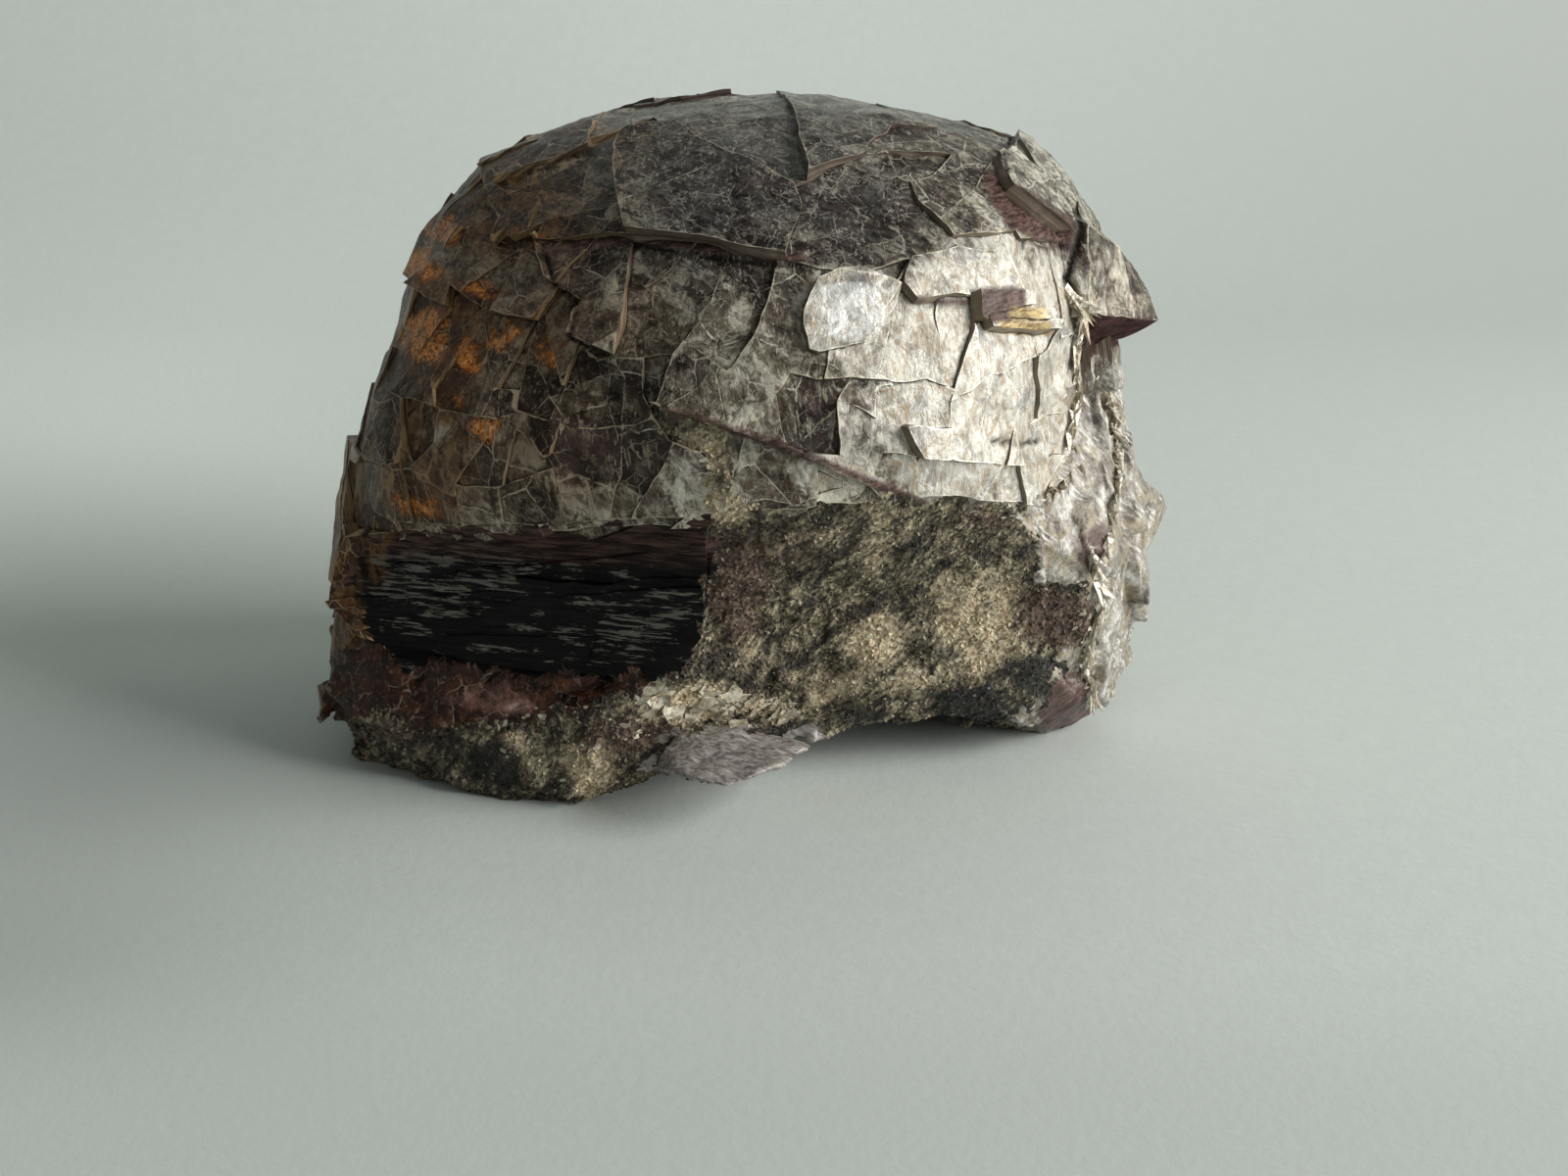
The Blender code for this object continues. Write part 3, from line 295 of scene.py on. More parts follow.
def noise_vectors(points, length):
    """Smooth random vectors, one for each point, that change over the given length."""
    return np.array([noise.noise_vector(Vector(point) / length) for point in points])


def noise_values(points, length, offset):
    """Smooth random numbers from about -1 to 1, one for each point."""
    shift = Vector((offset, offset, offset))
    return np.array([noise.noise(Vector(point) / length + shift) for point in points])


def waves(points, height, length, shift):
    """Smooth random heights in millimetres, one for each point."""
    return height * noise_values(points, length, shift)


def sides_of(faces):
    """The two points of each side of each triangle, the lower number first."""
    return np.sort(faces[:, [0, 1, 1, 2, 2, 0]].reshape(-1, 2), axis=1)


def side_pairs(faces):
    """The two points of each edge, and the two triangles beside it."""
    sides = sides_of(faces)
    order = np.lexsort((sides[:, 1], sides[:, 0]))
    return sides[order].reshape(-1, 2, 2)[:, 0], (order // 3).reshape(-1, 2)


class Facets:
    """The solid's own triangles: normals, sharp edges, walls and plates."""

    def __init__(self, mesh):
        corners = np.empty(len(mesh.vertices) * 3)
        mesh.vertices.foreach_get("co", corners)
        corners = np.round(corners.reshape(-1, 3) / MM, 4)
        self.points, index = np.unique(corners, axis=0, return_inverse=True)
        triangles = np.empty(len(mesh.polygons) * 3, int)
        mesh.polygons.foreach_get("vertices", triangles)
        self.faces = index.reshape(-1)[triangles].reshape(-1, 3)
        a, b, c = self.points[self.faces.T]
        self.normals = unit(np.cross(b - a, c - a))
        self.middles = (a + b + c) / 3
        slants = (self.normals * unit(self.middles - CORE)).sum(axis=1)
        self.walls = abs(slants) < WALL_SLANT
        self.find_sharp_edges()
        self.number_plates()

    def find_sharp_edges(self):
        """Edges where the surface turns sharply, outside the granular and lumpy parts."""
        x, y = picture(self.middles)
        share = front_share(self.middles)
        soft = (share < FRONT) & (self.middles[:, 2] < LOW_CRUST)
        for outline in (GRANULAR, PILLAR, RED_SHELF):
            soft |= (share > FRONT) & inside(x, y, outline)
        self.pairs, self.owners = side_pairs(self.faces)
        first, second = self.normals[self.owners.T]
        bend = np.arccos(np.clip((first * second).sum(axis=1), -1, 1))
        start, end = self.middles[self.owners.T]
        self.sharp = (bend > SHARP_ANGLE) & ~soft[self.owners].all(axis=1)
        self.convex = (first * (end - start)).sum(axis=1) < 0

    def number_plates(self):
        """Plate number of each triangle; triangles that no sharp edge divides share one."""
        plate = np.arange(len(self.faces))
        soft = self.owners[~self.sharp]
        while True:
            lowest = plate[soft].min(axis=1)
            fresh = plate.copy()
            np.minimum.at(fresh, soft[:, 0], lowest)
            np.minimum.at(fresh, soft[:, 1], lowest)
            if (fresh == plate).all():
                break
            plate = fresh
        self.plates = plate

    def edge_tree(self, chosen):
        """A tree of points along the chosen edges."""
        spots = []
        for start, end in self.points[self.pairs[chosen]]:
            steps = max(1, int(np.linalg.norm(end - start) / SAMPLE_STEP))
            spots += [start + (end - start) * (step + 0.5) / steps for step in range(steps)]
        tree = KDTree(len(spots))
        for number, spot in enumerate(spots):
            tree.insert(spot, number)
        tree.balance()
        return tree


def distances(tree, points):
    """Distance from each point to the nearest one in a tree."""
    return np.array([tree.find(point)[2] for point in points])


def split_long_edges(points, faces, owners, limit_of):
    """Halve every edge that is longer than its limit and cut the triangles beside it."""
    edges, index = np.unique(sides_of(faces), axis=0, return_inverse=True)
    ends = points[edges]
    middles = ends.mean(axis=1)
    lengths = np.linalg.norm(ends[:, 0] - ends[:, 1], axis=1)
    long = lengths > FINE_EDGE
    long[long] = lengths[long] > limit_of(middles[long])
    fresh = np.full(len(edges), -1)
    fresh[long] = len(points) + np.arange(long.sum())
    cuts = fresh[index.reshape(-1, 3)]
    counts = (cuts >= 0).sum(axis=1)
    turns = np.where(counts == 1, (cuts >= 0).argmax(axis=1), 0)
    turns = np.where(counts == 2, ((cuts < 0).argmax(axis=1) + 1) % 3, turns)
    turned = (np.arange(3)[None, :] + turns[:, None]) % 3
    a, b, c = np.take_along_axis(faces, turned, axis=1).T
    ab, bc, ca = np.take_along_axis(cuts, turned, axis=1).T
    patterns = [[(a, b, c)],
                [(a, ab, c), (ab, b, c)],
                [(ab, b, bc), (a, ab, c), (ab, bc, c)],
                [(a, ab, ca), (ab, b, bc), (ca, bc, c), (ab, bc, ca)]]
    parts, kept = [], []
    for count, trios in enumerate(patterns):
        chosen = counts == count
        for trio in trios:
            parts.append(np.stack([corner[chosen] for corner in trio], axis=1))
            kept.append(owners[chosen])
    return np.vstack([points, middles[long]]), np.vstack(parts), np.concatenate(kept), long.sum()


def neighbour_means(points, pairs, chosen):
    """Mean of each chosen point's neighbours along the given edges, and how many it has."""
    total = np.zeros_like(points)
    count = np.zeros(len(points))
    for one, other in (pairs.T, pairs.T[::-1]):
        np.add.at(total, one, points[other])
        np.add.at(count, one, 1)
    means = points.copy()
    good = chosen & (count > 0)
    means[good] = total[good] / count[good, None]
    return means, count


class Skin:
    """The fine triangles of the stone, each with the solid's triangle that it came from."""

    def __init__(self, facets):
        self.facets = facets
        self.rims = facets.edge_tree(facets.sharp & facets.convex)
        self.creases = facets.edge_tree(facets.sharp & ~facets.convex)
        self.points, self.faces = facets.points, facets.faces
        self.owners = np.arange(len(facets.faces))
        for _ in range(REFINE_ROUNDS):
            self.points, self.faces, self.owners, cuts = split_long_edges(
                self.points, self.faces, self.owners, self.edge_limits)
            if not cuts:
                break
        self.rest = self.points
        self.find_edges()

    def edge_limits(self, points):
        """Longest edge allowed at each point: short beside sharp edges and in grains."""
        gaps = np.minimum(distances(self.rims, points), distances(self.creases, points))
        limits = np.minimum(FINE_EDGE + FINE_GROWTH * gaps, PLATE_EDGE)
        x, y = picture(points)
        front = front_share(points) > 0.9
        limits[front & (inside(x, y, GRANULAR) | inside(x, y, PILLAR))] = GRAIN_EDGE
        for line, half in CRACK_LINES + LATH_LINES:
            beside = np.maximum(line_gap(x, y, line) - half, 0) * PIXEL
            limits[front] = np.minimum(limits, LINE_EDGE + LINE_GROWTH * beside)[front]
        limits[~front] *= HIDDEN_SCALE
        return limits

    def find_edges(self):
        """All edges, which of them are the solid's sharp ones, and the points on those."""
        self.edges, beside = side_pairs(self.faces)
        step = [len(self.facets.faces), 1]
        sharp_pairs = np.sort(self.facets.owners[self.facets.sharp], axis=1) @ step
        self.sharp = np.isin(np.sort(self.owners[beside], axis=1) @ step, sharp_pairs)
        self.on_sharp = np.zeros(len(self.points), bool)
        self.on_sharp[self.edges[self.sharp]] = True

    def relax(self):
        """Even out the creases between facets of one plate, and round the plates' corners."""
        for _ in range(RELAX_ROUNDS):
            means, _ = neighbour_means(self.points, self.edges, ~self.on_sharp)
            self.points = (self.points + means) / 2
        for _ in range(2):
            means, count = neighbour_means(self.points, self.edges[self.sharp], self.on_sharp)
            line = self.on_sharp & (count == 2)
            self.points[line] = (self.points[line] + means[line]) / 2

    def normals(self):
        """The surface's normal at each point."""
        a, b, c = self.points[self.faces.T]
        across = np.cross(b - a, c - a)
        total = np.zeros_like(self.points)
        for corners in self.faces.T:
            np.add.at(total, corners, across)
        return unit(total)


def shape_skin(skin):
    """Worn, wavy edges for the plates, a rough relief for the crust, a depth for the lines."""
    skin.relax()
    for length, height in WARP:
        skin.points = skin.points + height * noise_vectors(skin.points, length)
    points = skin.points
    x, y = picture(points)
    front = front_share(points) > 0.5
    relief = waves(points, *RIPPLES)
    rough = waves(points, *ROUGH) + waves(points, *FINE_ROUGH)
    lumps = LUMP[0] * (LUMP_LEVEL - abs(noise_values(points, *LUMP[1:])))
    lumps += waves(points, *FINE_LUMP)
    stripes = waves(points * np.array(STRIPE_STRETCH), *STRIPES)
    for outline, height in ((GRANULAR, rough), (PILLAR, lumps), (RED_SHELF, lumps),
                            (BLACK_FACE, stripes)):
        relief = np.where(front & inside(x, y, outline), height, relief)
    relief += front * (LATH_HEIGHT * line_mask(x, y, LATH_LINES)
                       - CRACK_DEPTH * line_mask(x, y, CRACK_LINES))
    skin.points = points + skin.normals() * relief[:, None]
    skin.points[:, 2] = np.maximum(skin.points[:, 2], 0)


def skin_masks(skin):
    """Numbers at every point that the finishes read."""
    points = skin.points
    x, y = picture(points)
    front = front_share(points)
    masks = {name: patch_mask(x, y, outlines) for name, outlines in PATCHES.items()}
    masks["violet"] = np.maximum(masks["violet"], line_mask(x, y, LATH_LINES))
    masks["crack"] = line_mask(x, y, CRACK_LINES)
    # Lilac towards the top of the black face: the mica's colour with painted light through its thin
    # edge.
    masks["lilac"] = np.clip((582 + 0.04 * (x - 380) - y) / 36, 0, 1)
    masks = {name: front * values for name, values in masks.items()}
    wander = SPOT_WANDER * noise_vectors(points, 5)
    x, y = x + wander[:, 0], y + wander[:, 2]
    for name, ((size, shift, gain, level, ceiling), *spots) in SPOTS.items():
        hidden = np.clip(noise_values(points, size, shift) * gain + level, 0, ceiling)
        masks[name] = hidden + front * (spot_mask(x, y, spots) - hidden)
    masks["rim"] = distances(skin.rims, skin.rest)
    masks["crease"] = distances(skin.creases, skin.rest)
    masks["depth"] = np.linalg.norm(points - CORE, axis=1)
    return masks


def finish_numbers(skin):
    """Which finish each triangle wears, by the region that it lies in."""
    middles = skin.points[skin.faces].mean(axis=1)
    x, y = picture(middles)
    drift = BORDER_WANDER * (noise_vectors(middles, 3.4) + 0.6 * noise_vectors(middles, 1.2))
    x, y = x + drift[:, 0], y + drift[:, 2]
    front = front_share(middles) > FRONT
    finishes = np.where(skin.facets.walls[skin.owners], EDGE, PLATE)
    finishes[~front & (middles[:, 2] + 0.2 * drift[:, 1] < LOW_CRUST)] = CRUST
    regions = [(LUMPS, PILLAR), (SHELF, RED_SHELF), (CRUST, GRANULAR), (BLACK, BLACK_FACE),
               (FOOT, FAN)] + [(CRUST, outline) for outline in CRUST_PATCHES]
    for number, outline in regions:
        finishes[front & inside(x, y, outline)] = number
    return finishes


class Wire:
    """One output of a node, with plain arithmetic, steps and colour ramps."""

    def __init__(self, graph, socket):
        self.graph, self.socket = graph, socket

    def __add__(self, other):
        return self.graph.math("ADD", self, other)

    def __sub__(self, other):
        return self.graph.math("SUBTRACT", self, other)

    def __mul__(self, other):
        return self.graph.math("MULTIPLY", self, other)

    def band(self, low, high, bottom=0, top=1):
        """A smooth step from bottom to top, between low and high."""
        return self.graph.node("ShaderNodeMapRange", (self, low, high, bottom, top), "Result",
                               interpolation_type="SMOOTHSTEP")

    def ramp(self, low, high, first, second):
        """The first colour below low, the second above high, and a smooth change between."""
        return self.graph.blend(self.band(low, high), first, second)


class Graph:
    """A node tree under construction."""

    def __init__(self, tree):
        self.nodes, self.links = tree.nodes, tree.links

    def put(self, socket, value):
        if isinstance(value, Wire):
            self.links.new(value.socket, socket)
        elif socket.type == "RGBA":
            socket.default_value = (*value, 1)
        else:
            socket.default_value = value

    def node(self, kind, inputs=(), output=0, **settings):
        """A new node's output, or a list of them; inputs go by number or by name."""
        node = self.nodes.new(kind)
        for name, value in settings.items():
            setattr(node, name, value)
        for key, value in inputs.items() if isinstance(inputs, dict) else enumerate(inputs):
            self.put(node.inputs[key], value)
        if isinstance(output, tuple):
            return [Wire(self, node.outputs[key]) for key in output]
        return Wire(self, node.outputs[output])


class Finish(Graph):
    """A material under construction, with its colour and its bumpy normal so far."""

    def __init__(self, name):
        self.material = bpy.data.materials.new(name)
        self.material.use_nodes = True
        super().__init__(self.material.node_tree)
        self.place = self.node("ShaderNodeTexCoord", output="Object")
        self.colour = self.normal = None

    def math(self, operation, *values):
        return self.node("ShaderNodeMath", values, operation=operation)

    def most(self, first, *others):
        for other in others:
            first = self.math("MAXIMUM", first, other)
        return first

    def vectors(self, operation, *values):
        return self.node("ShaderNodeVectorMath", values, operation=operation)

    def stretched(self, scale, turn=0):
        """Object coordinates, turned in the picture's plane and then stretched."""
        turned = self.node("ShaderNodeMapping",
                           {"Vector": self.place, "Rotation": (0, math.radians(turn), 0)})
        return self.node("ShaderNodeMapping", {"Vector": turned, "Scale": scale})

    def clouds(self, size, detail=4, roughness=0.55, distortion=0, where=None):
        """Noise with lumps of the given size in millimetres."""
        return self.node("ShaderNodeTexNoise",
                         {"Vector": where or self.place, "Scale": 1 / (size * MM), "Detail": detail,
                          "Roughness": roughness, "Distortion": distortion}, "Fac")

    def cells(self, size, feature="F1", output="Distance", where=None):
        """Cells of the given size in millimetres."""
        inputs = {"Vector": where or self.place, "Scale": 1 / (size * MM)}
        return self.node("ShaderNodeTexVoronoi", inputs, output, feature=feature)

    def gaps(self, size, where):
        """Distance to the borders between cells."""
        return self.cells(size, "DISTANCE_TO_EDGE", where=where)

    def warped(self, size, amount, where=None):
        """Coordinates pushed about by noise: lump size and push in millimetres."""
        where = where or self.place
        push = self.node("ShaderNodeTexNoise", {"Vector": where, "Scale": 1 / (size * MM)}, "Color")
        return self.vectors("MULTIPLY_ADD", push, (amount * MM * 2,) * 3, where)

    def blend(self, share, first, second):
        """The second colour over the first one."""
        return self.node("ShaderNodeMix", {0: share, 6: first, 7: second}, 2, data_type="RGBA")

    def lay(self, share, colour):
        """Another colour over the finish so far."""
        self.colour = self.blend(share, self.colour, colour)

    def mask(self, name):
        """A number that the mesh carries."""
        return self.node("ShaderNodeAttribute", (), "Fac", attribute_name=name)

    def ragged(self, name, cloud, amount):
        """A number that the mesh carries, made ragged by a cloud."""
        return self.mask(name) + (cloud - 0.5) * amount

    def island(self):
        """A random number for each loose piece of the mesh."""
        return self.node("ShaderNodeNewGeometry", (), "Random Per Island")

    def parts(self, value, kind="ShaderNodeSeparateColor"):
        """The three numbers of a colour or vector."""
        return self.node(kind, (value,), (0, 1, 2))

    def lean(self, vector, amount):
        """Lean the surface's normal by a vector of numbers around one half."""
        lean = self.vectors("SUBTRACT", vector, (0.5, 0.5, 0.5))
        flat = self.node("ShaderNodeNewGeometry", (), "Normal")
        leaned = self.vectors("MULTIPLY_ADD", lean, (amount,) * 3, flat)
        self.normal = self.vectors("NORMALIZE", leaned)

    def relief(self, height, depth, strength):
        """Bumps of the given depth in millimetres."""
        inputs = {"Height": height, "Distance": depth * MM, "Strength": strength}
        if self.normal:
            inputs["Normal"] = self.normal
        self.normal = self.node("ShaderNodeBump", inputs)

    def done(self, roughness, metal=0, coat=0, coat_roughness=0.2, ior=1.56):
        inputs = {"Base Color": self.colour, "Roughness": roughness, "Normal": self.normal,
                  "Metallic": metal, "Coat Weight": coat, "Coat Roughness": coat_roughness,
                  "IOR": ior}
        for name, value in inputs.items():
            self.put(self.nodes["Principled BSDF"].inputs[name], value)
        return self.material


def plate_colour(f, veil, mottle, flake):
    """Slate, brown, olive and silver clouds in the sheets, before any lines; the silver carries a
    painted sheen.
    """
    pearl, height = f.mask("pearl"), f.parts(f.place, "ShaderNodeSeparateXYZ")[2]
    body = veil * 0.45 + mottle * 0.55 + (f.mask("tone") - 0.5) * 0.1 + (flake - 0.5) * 0.13
    olive = body.ramp(0.38, 0.5, (0.018, 0.012, 0.008), (0.13, 0.108, 0.074))
    olive = body.ramp(0.475, 0.62, olive, (0.54, 0.51, 0.42))
    flow = f.clouds(1.7, 6, 0.6, 1.2, f.stretched((0.45, 0.6, 1), -8))
    murk = veil * 0.5 + flow * 0.5
    slate = murk.ramp(0.41, 0.55, (0.004, 0.0032, 0.0055), (0.044, 0.039, 0.044))
    slate = murk.ramp(0.53, 0.64, slate, (0.185, 0.182, 0.16))
    brown = body.ramp(0.4, 0.54, (0.018, 0.008, 0.004), (0.118, 0.054, 0.022))
    brown = f.blend(body.band(0.51, 0.66) * 0.65, brown, (0.42, 0.24, 0.105))
    f.colour = f.blend(f.mask("slate") * 0.92, olive, slate)
    f.lay(f.mask("brown") * 0.97, brown)
    mauve = f.clouds(3.2, 5, 0.62, 0.6).band(0.49, 0.6) * body.band(0.6, 0.48)
    f.lay(mauve * 0.42, (0.082, 0.046, 0.042))
    curl = f.clouds(0.8, 5, 0.66, 0.8, f.stretched((0.14, 0.3, 1), -22))
    # The crown of the dome is darkened in curling wisps: painted shade on the top of the stone.
    crown = height.band(*CROWN_HEIGHTS)
    crown_painted_shade = f.blend(f.mask("brown"), (0.052, 0.047, 0.042), (0.06, 0.035, 0.018))
    f.lay(crown * curl.band(0.5, 0.62) * 0.6, crown_painted_shade)
    f.lay(crown * curl.band(0.52, 0.42) * 0.88, (0.014, 0.01, 0.01))
    silver = mottle.ramp(0.34, 0.6, (0.33, 0.3, 0.245), (0.6, 0.58, 0.525))
    silver = f.blend(veil.band(0.47, 0.36) * 0.8, silver, (0.24, 0.24, 0.25))
    silver = f.blend(flake.band(0.7, 0.95) * 0.35, silver, (0.45, 0.36, 0.23))
    threads = f.clouds(0.2, 4, 0.65, 0.4, f.stretched((1, 0.5, 0.05), -4))
    drawn = f.clouds(5, 3, 0.6).band(0.44, 0.54)
    silver = f.blend(threads.band(0.55, 0.64) * drawn * 0.75, silver, (0.36, 0.255, 0.125))
    silver = f.blend(threads.band(0.46, 0.38) * 0.35, silver, (0.92, 0.91, 0.86))
    # Brightest silver where the pearl spots are strongest: partly a painted highlight.
    bright = mottle.ramp(0.36, 0.5, (0.62, 0.61, 0.58), (0.93, 0.93, 0.91))
    silver = f.blend(pearl.band(1, 1.12) * 0.75, silver, bright)
    f.lay((pearl + (body - 0.5) * 1.2).band(0.28, 0.66), silver)


def plate_lines(f, broken, seam):
    """Thin outlines of the sheets, hairs, streaks and squiggles between them, and painted shade in
    the creases.
    """
    pearl, slate, brown = [f.mask(name) for name in ("pearl", "slate", "brown")]
    bare = f.most(f.mask("violet"), f.mask("gold")).band(0.5, 0.2)
    seams = seam.band(0.022, 0.007) * f.clouds(3, 4, 0.65).band(0.45, 0.56)
    seams = seams * slate.band(0, 1, 0.75, 0.35)
    gaps = seam.band(0.075, 0.02) * f.clouds(2.4, 4, 0.65).band(0.52, 0.44) * 0.75
    f.lay(gaps * bare * pearl.band(0.6, 0.2, 0.35, 1), (0.01, 0.006, 0.004))
    worms = f.math("ABSOLUTE", f.clouds(1.7, 4, 0.62, 1.4) - 0.5).band(0.013, 0.004)
    worms = worms * f.clouds(3, 5, 0.7).band(0.48, 0.56) * slate.band(0.1, 0.8, 0.35, 0.8)
    streaks = f.clouds(0.4, 4, 0.64, 0.4, f.stretched((1, 1, 0.08), 7)).band(0.53, 0.63)
    streaks = streaks * f.clouds(2.6, 5, 0.68, 0.5).band(0.47, 0.57)
    hairs = f.gaps(CHIP, f.warped(0.6, 0.25)).band(0.045, 0.012)
    hairs = hairs * f.clouds(2, 5, 0.7).band(0.48, 0.58) * 0.4
    pale = f.most(seams, hairs, worms, streaks * 0.5) * bare
    lighter = f.blend(brown, (0.54, 0.51, 0.42), (0.42, 0.28, 0.16))
    f.lay(pale, pearl.ramp(0.25, 0.6, lighter, (0.36, 0.23, 0.11)))
    # Dark along the inner creases between plates, a painted shade, and dark along the cracks.
    crease = (f.mask("crease") + broken * 0.35).band(0.36, 0.22)
    f.lay(f.most(crease * 0.85, f.mask("crack")), (0.012, 0.008, 0.005))
    rim = (f.mask("rim") + broken * 0.4).band(0.34, 0.25)
    edge = f.blend(brown, (0.5, 0.45, 0.34), (0.36, 0.24, 0.14))
    f.lay(rim * 0.85 * bare, pearl.ramp(0.3, 0.7, edge, (0.9, 0.86, 0.74)))
    return streaks


def plate_stains(f):
    """Iron stain with painted sparkle, violet ledges, the golden splinter and painted shade under
    the fin.
    """
    stain = f.ragged("stain", f.clouds(1.8, 6, 0.7), 1.6)
    rust = stain.ramp(0.5, 1.05, (0.1, 0.027, 0.005), (0.68, 0.21, 0.033))
    glitter = f.clouds(0.4, 4, 0.7)
    # Bright orange dots in the stain: painted sparkle.
    rust = f.blend(glitter.band(0.49, 0.6) * stain.band(0.6, 1), rust, (1, 0.5, 0.16))
    f.lay(stain.band(0.4, 0.75) * 0.94, glitter.ramp(0.46, 0.36, rust, (0.06, 0.02, 0.006)))
    fibres = f.clouds(0.3, 4, 0.65, 0.2, f.stretched((0.08, 0.3, 1), 6))
    # The shade patch darkens the fin's underside: painted shade.
    for name, share, low, dark, light in (
            ("violet", 0.95, 0.4, (0.034, 0.013, 0.013), (0.15, 0.085, 0.07)),
            ("gold", 0.95, 0.38, (0.18, 0.105, 0.04), (0.5, 0.375, 0.175)),
            ("shade", 1, 0.4, (0.018, 0.005, 0.004), (0.066, 0.027, 0.024))):
        f.lay(f.mask(name) * share, fibres.ramp(low, 0.62, dark, light))


def plate_finish():
    """Cleavage faces: dark slate, brown and cloudy mica under a pearly sheen, partly painted into
    the colour.
    """
    f = Finish("mica plates")
    veil = f.clouds(4.6, 7, 0.66, 0.7)
    mottle = f.clouds(1.3, 6, 0.72, 0.9, f.stretched((1, 1, 0.7), 18))
    broken = f.clouds(0.9, 4, 0.65)
    where = f.warped(0.9, 0.22, f.stretched((1, 1, 0.75), 14))
    flake = f.cells(FLAKE, output="Color", where=where)
    plate_colour(f, veil, mottle, f.parts(flake)[1])
    plate_stains(f)
    streaks = plate_lines(f, broken, f.gaps(FLAKE, where))
    leans = f.node("ShaderNodeCombineXYZ", [f.mask(name) for name in ("lean_a", "lean_b", "tone")])
    chips = f.cells(CHIP, output="Color", where=f.warped(0.6, 0.25))
    f.lean(f.blend(0.35, f.blend(0.5, leans, flake), chips), 0.5)
    f.relief(mottle, 0.35, 0.7)
    f.relief(f.clouds(0.6, 4, 0.7, 0.9), 0.12, 0.6)
    f.relief(streaks, 0.05, 0.6)
    f.relief(broken, 0.16, 0.5)
    metal = f.mask("pearl").band(0, 1, 0.08, 0.3) * f.mask("violet").band(0.6, 0.2)
    roughness = veil.band(0.3, 0.7, 0.18, 0.38) + f.mask("brown") * 0.14
    return f.done(f.most(roughness, f.mask("shade") * 0.95), metal, 0.05, 0.16, 1.28)


def edge_finish():
    """Broken edges of the books: thin sheets one on another, seen edge on."""
    f = Finish("sheet edges")
    strata = (f.clouds(7), f.clouds(2) * 0.5, f.mask("depth") * 3.4)
    stripes = f.clouds(1 / MM, 4, 0.75, where=f.node("ShaderNodeCombineXYZ", strata))
    f.colour = stripes.ramp(0.35, 0.68, (0.05, 0.032, 0.028), (0.24, 0.185, 0.14))
    gilt = stripes.ramp(0.36, 0.62, (0.03, 0.015, 0.006), (0.4, 0.255, 0.105))
    f.lay(f.mask("brown") * 0.9, gilt)
    # Paler on the pearl spots: pale mica with a painted sheen.
    f.lay(f.mask("pearl") * 0.6, (0.42, 0.35, 0.24))
    f.lay(f.clouds(2.5).band(0.5, 0.7) * 0.5, (0.03, 0.022, 0.018))
    f.relief(stripes, 0.16, 0.8)
    return f.done(0.36, coat=0.05, ior=1.35)


def black_finish():
    """The undercut face: black mica, striped across, with silvery dashes; its near-black is partly
    painted shade under the overhang.
    """
    f = Finish("black striped mica")
    stripes = f.clouds(0.42, 5, 0.66, 0.5, f.stretched((0.1, 0.1, 1), 2))
    broad = f.clouds(2.6, 5, 0.7, 0.6, f.stretched((0.4, 0.4, 1)))
    # Near-black base: dark mica, darkened further as painted shade under the overhang.
    f.colour = stripes.ramp(0.45, 0.66, (0.0012, 0.0012, 0.0015), (0.009, 0.0085, 0.008))
    dashes = stripes.band(0.485, 0.545) * (broad + (f.mask("dash") - 0.5) * 0.16).band(0.5, 0.56)
    f.lay(dashes * 0.85, f.blend(f.clouds(1.2), (0.07, 0.066, 0.058), (0.26, 0.245, 0.215)))
    # Lilac band at the top: the mica's own lilac with painted light shining through the thin edge.
    lilac = f.ragged("lilac", broad, 0.9).band(0.25, 0.75)
    f.lay(lilac * 0.92, stripes.ramp(0.42, 0.64, (0.012, 0.005, 0.004), (0.105, 0.058, 0.047)))
    f.lay(f.mask("stain") * f.clouds(1.4, 6, 0.7).band(0.42, 0.56), (0.3, 0.15, 0.05))
    f.relief(stripes, 0.25, 0.8)
    return f.done(stripes.band(0.3, 0.7, 0.4, 0.6), ior=1.25)


def shelf_finish():
    """The ledge under the black face: clear red-brown mica, cracked, with pink glints."""
    f = Finish("red mica")
    veil = f.clouds(2.4, 6, 0.65, 0.8)
    where = f.warped(1.2, 0.5)
    webs, panes = f.gaps(PANE, where), f.cells(PANE, output="Color", where=where)
    shade, pick, _ = f.parts(panes)
    f.colour = veil.ramp(0.42, 0.66, (0.007, 0.0025, 0.001), (0.082, 0.028, 0.013))
    f.lay(shade * 0.3, (0.085, 0.03, 0.016))
    glint = f.ragged("glint", f.clouds(1.5, 6, 0.7), 1.6)
    f.lay(glint.band(0.4, 1), (0.21, 0.105, 0.085))
    f.lay(glint.band(0.95, 1.6), (0.66, 0.5, 0.45))
    web = webs.band(0.04, 0.01) * f.clouds(1.8, 5, 0.7).band(0.47, 0.58)
    f.lay(web * 0.6, (0.34, 0.25, 0.18))
    threads = f.clouds(0.4, 4, 0.65, 0.8, f.stretched((1, 1, 0.2), 20))
    f.lay(threads.band(0.56, 0.64) * 0.35, (0.3, 0.2, 0.15))
    f.lean(panes, 0.5)
    f.relief(webs, 0.2, 0.6)
    f.relief(veil, 0.7, 0.6)
    return f.done(pick.band(0, 1, 0.14, 0.34), coat=0.06, coat_roughness=0.1, ior=1.38)


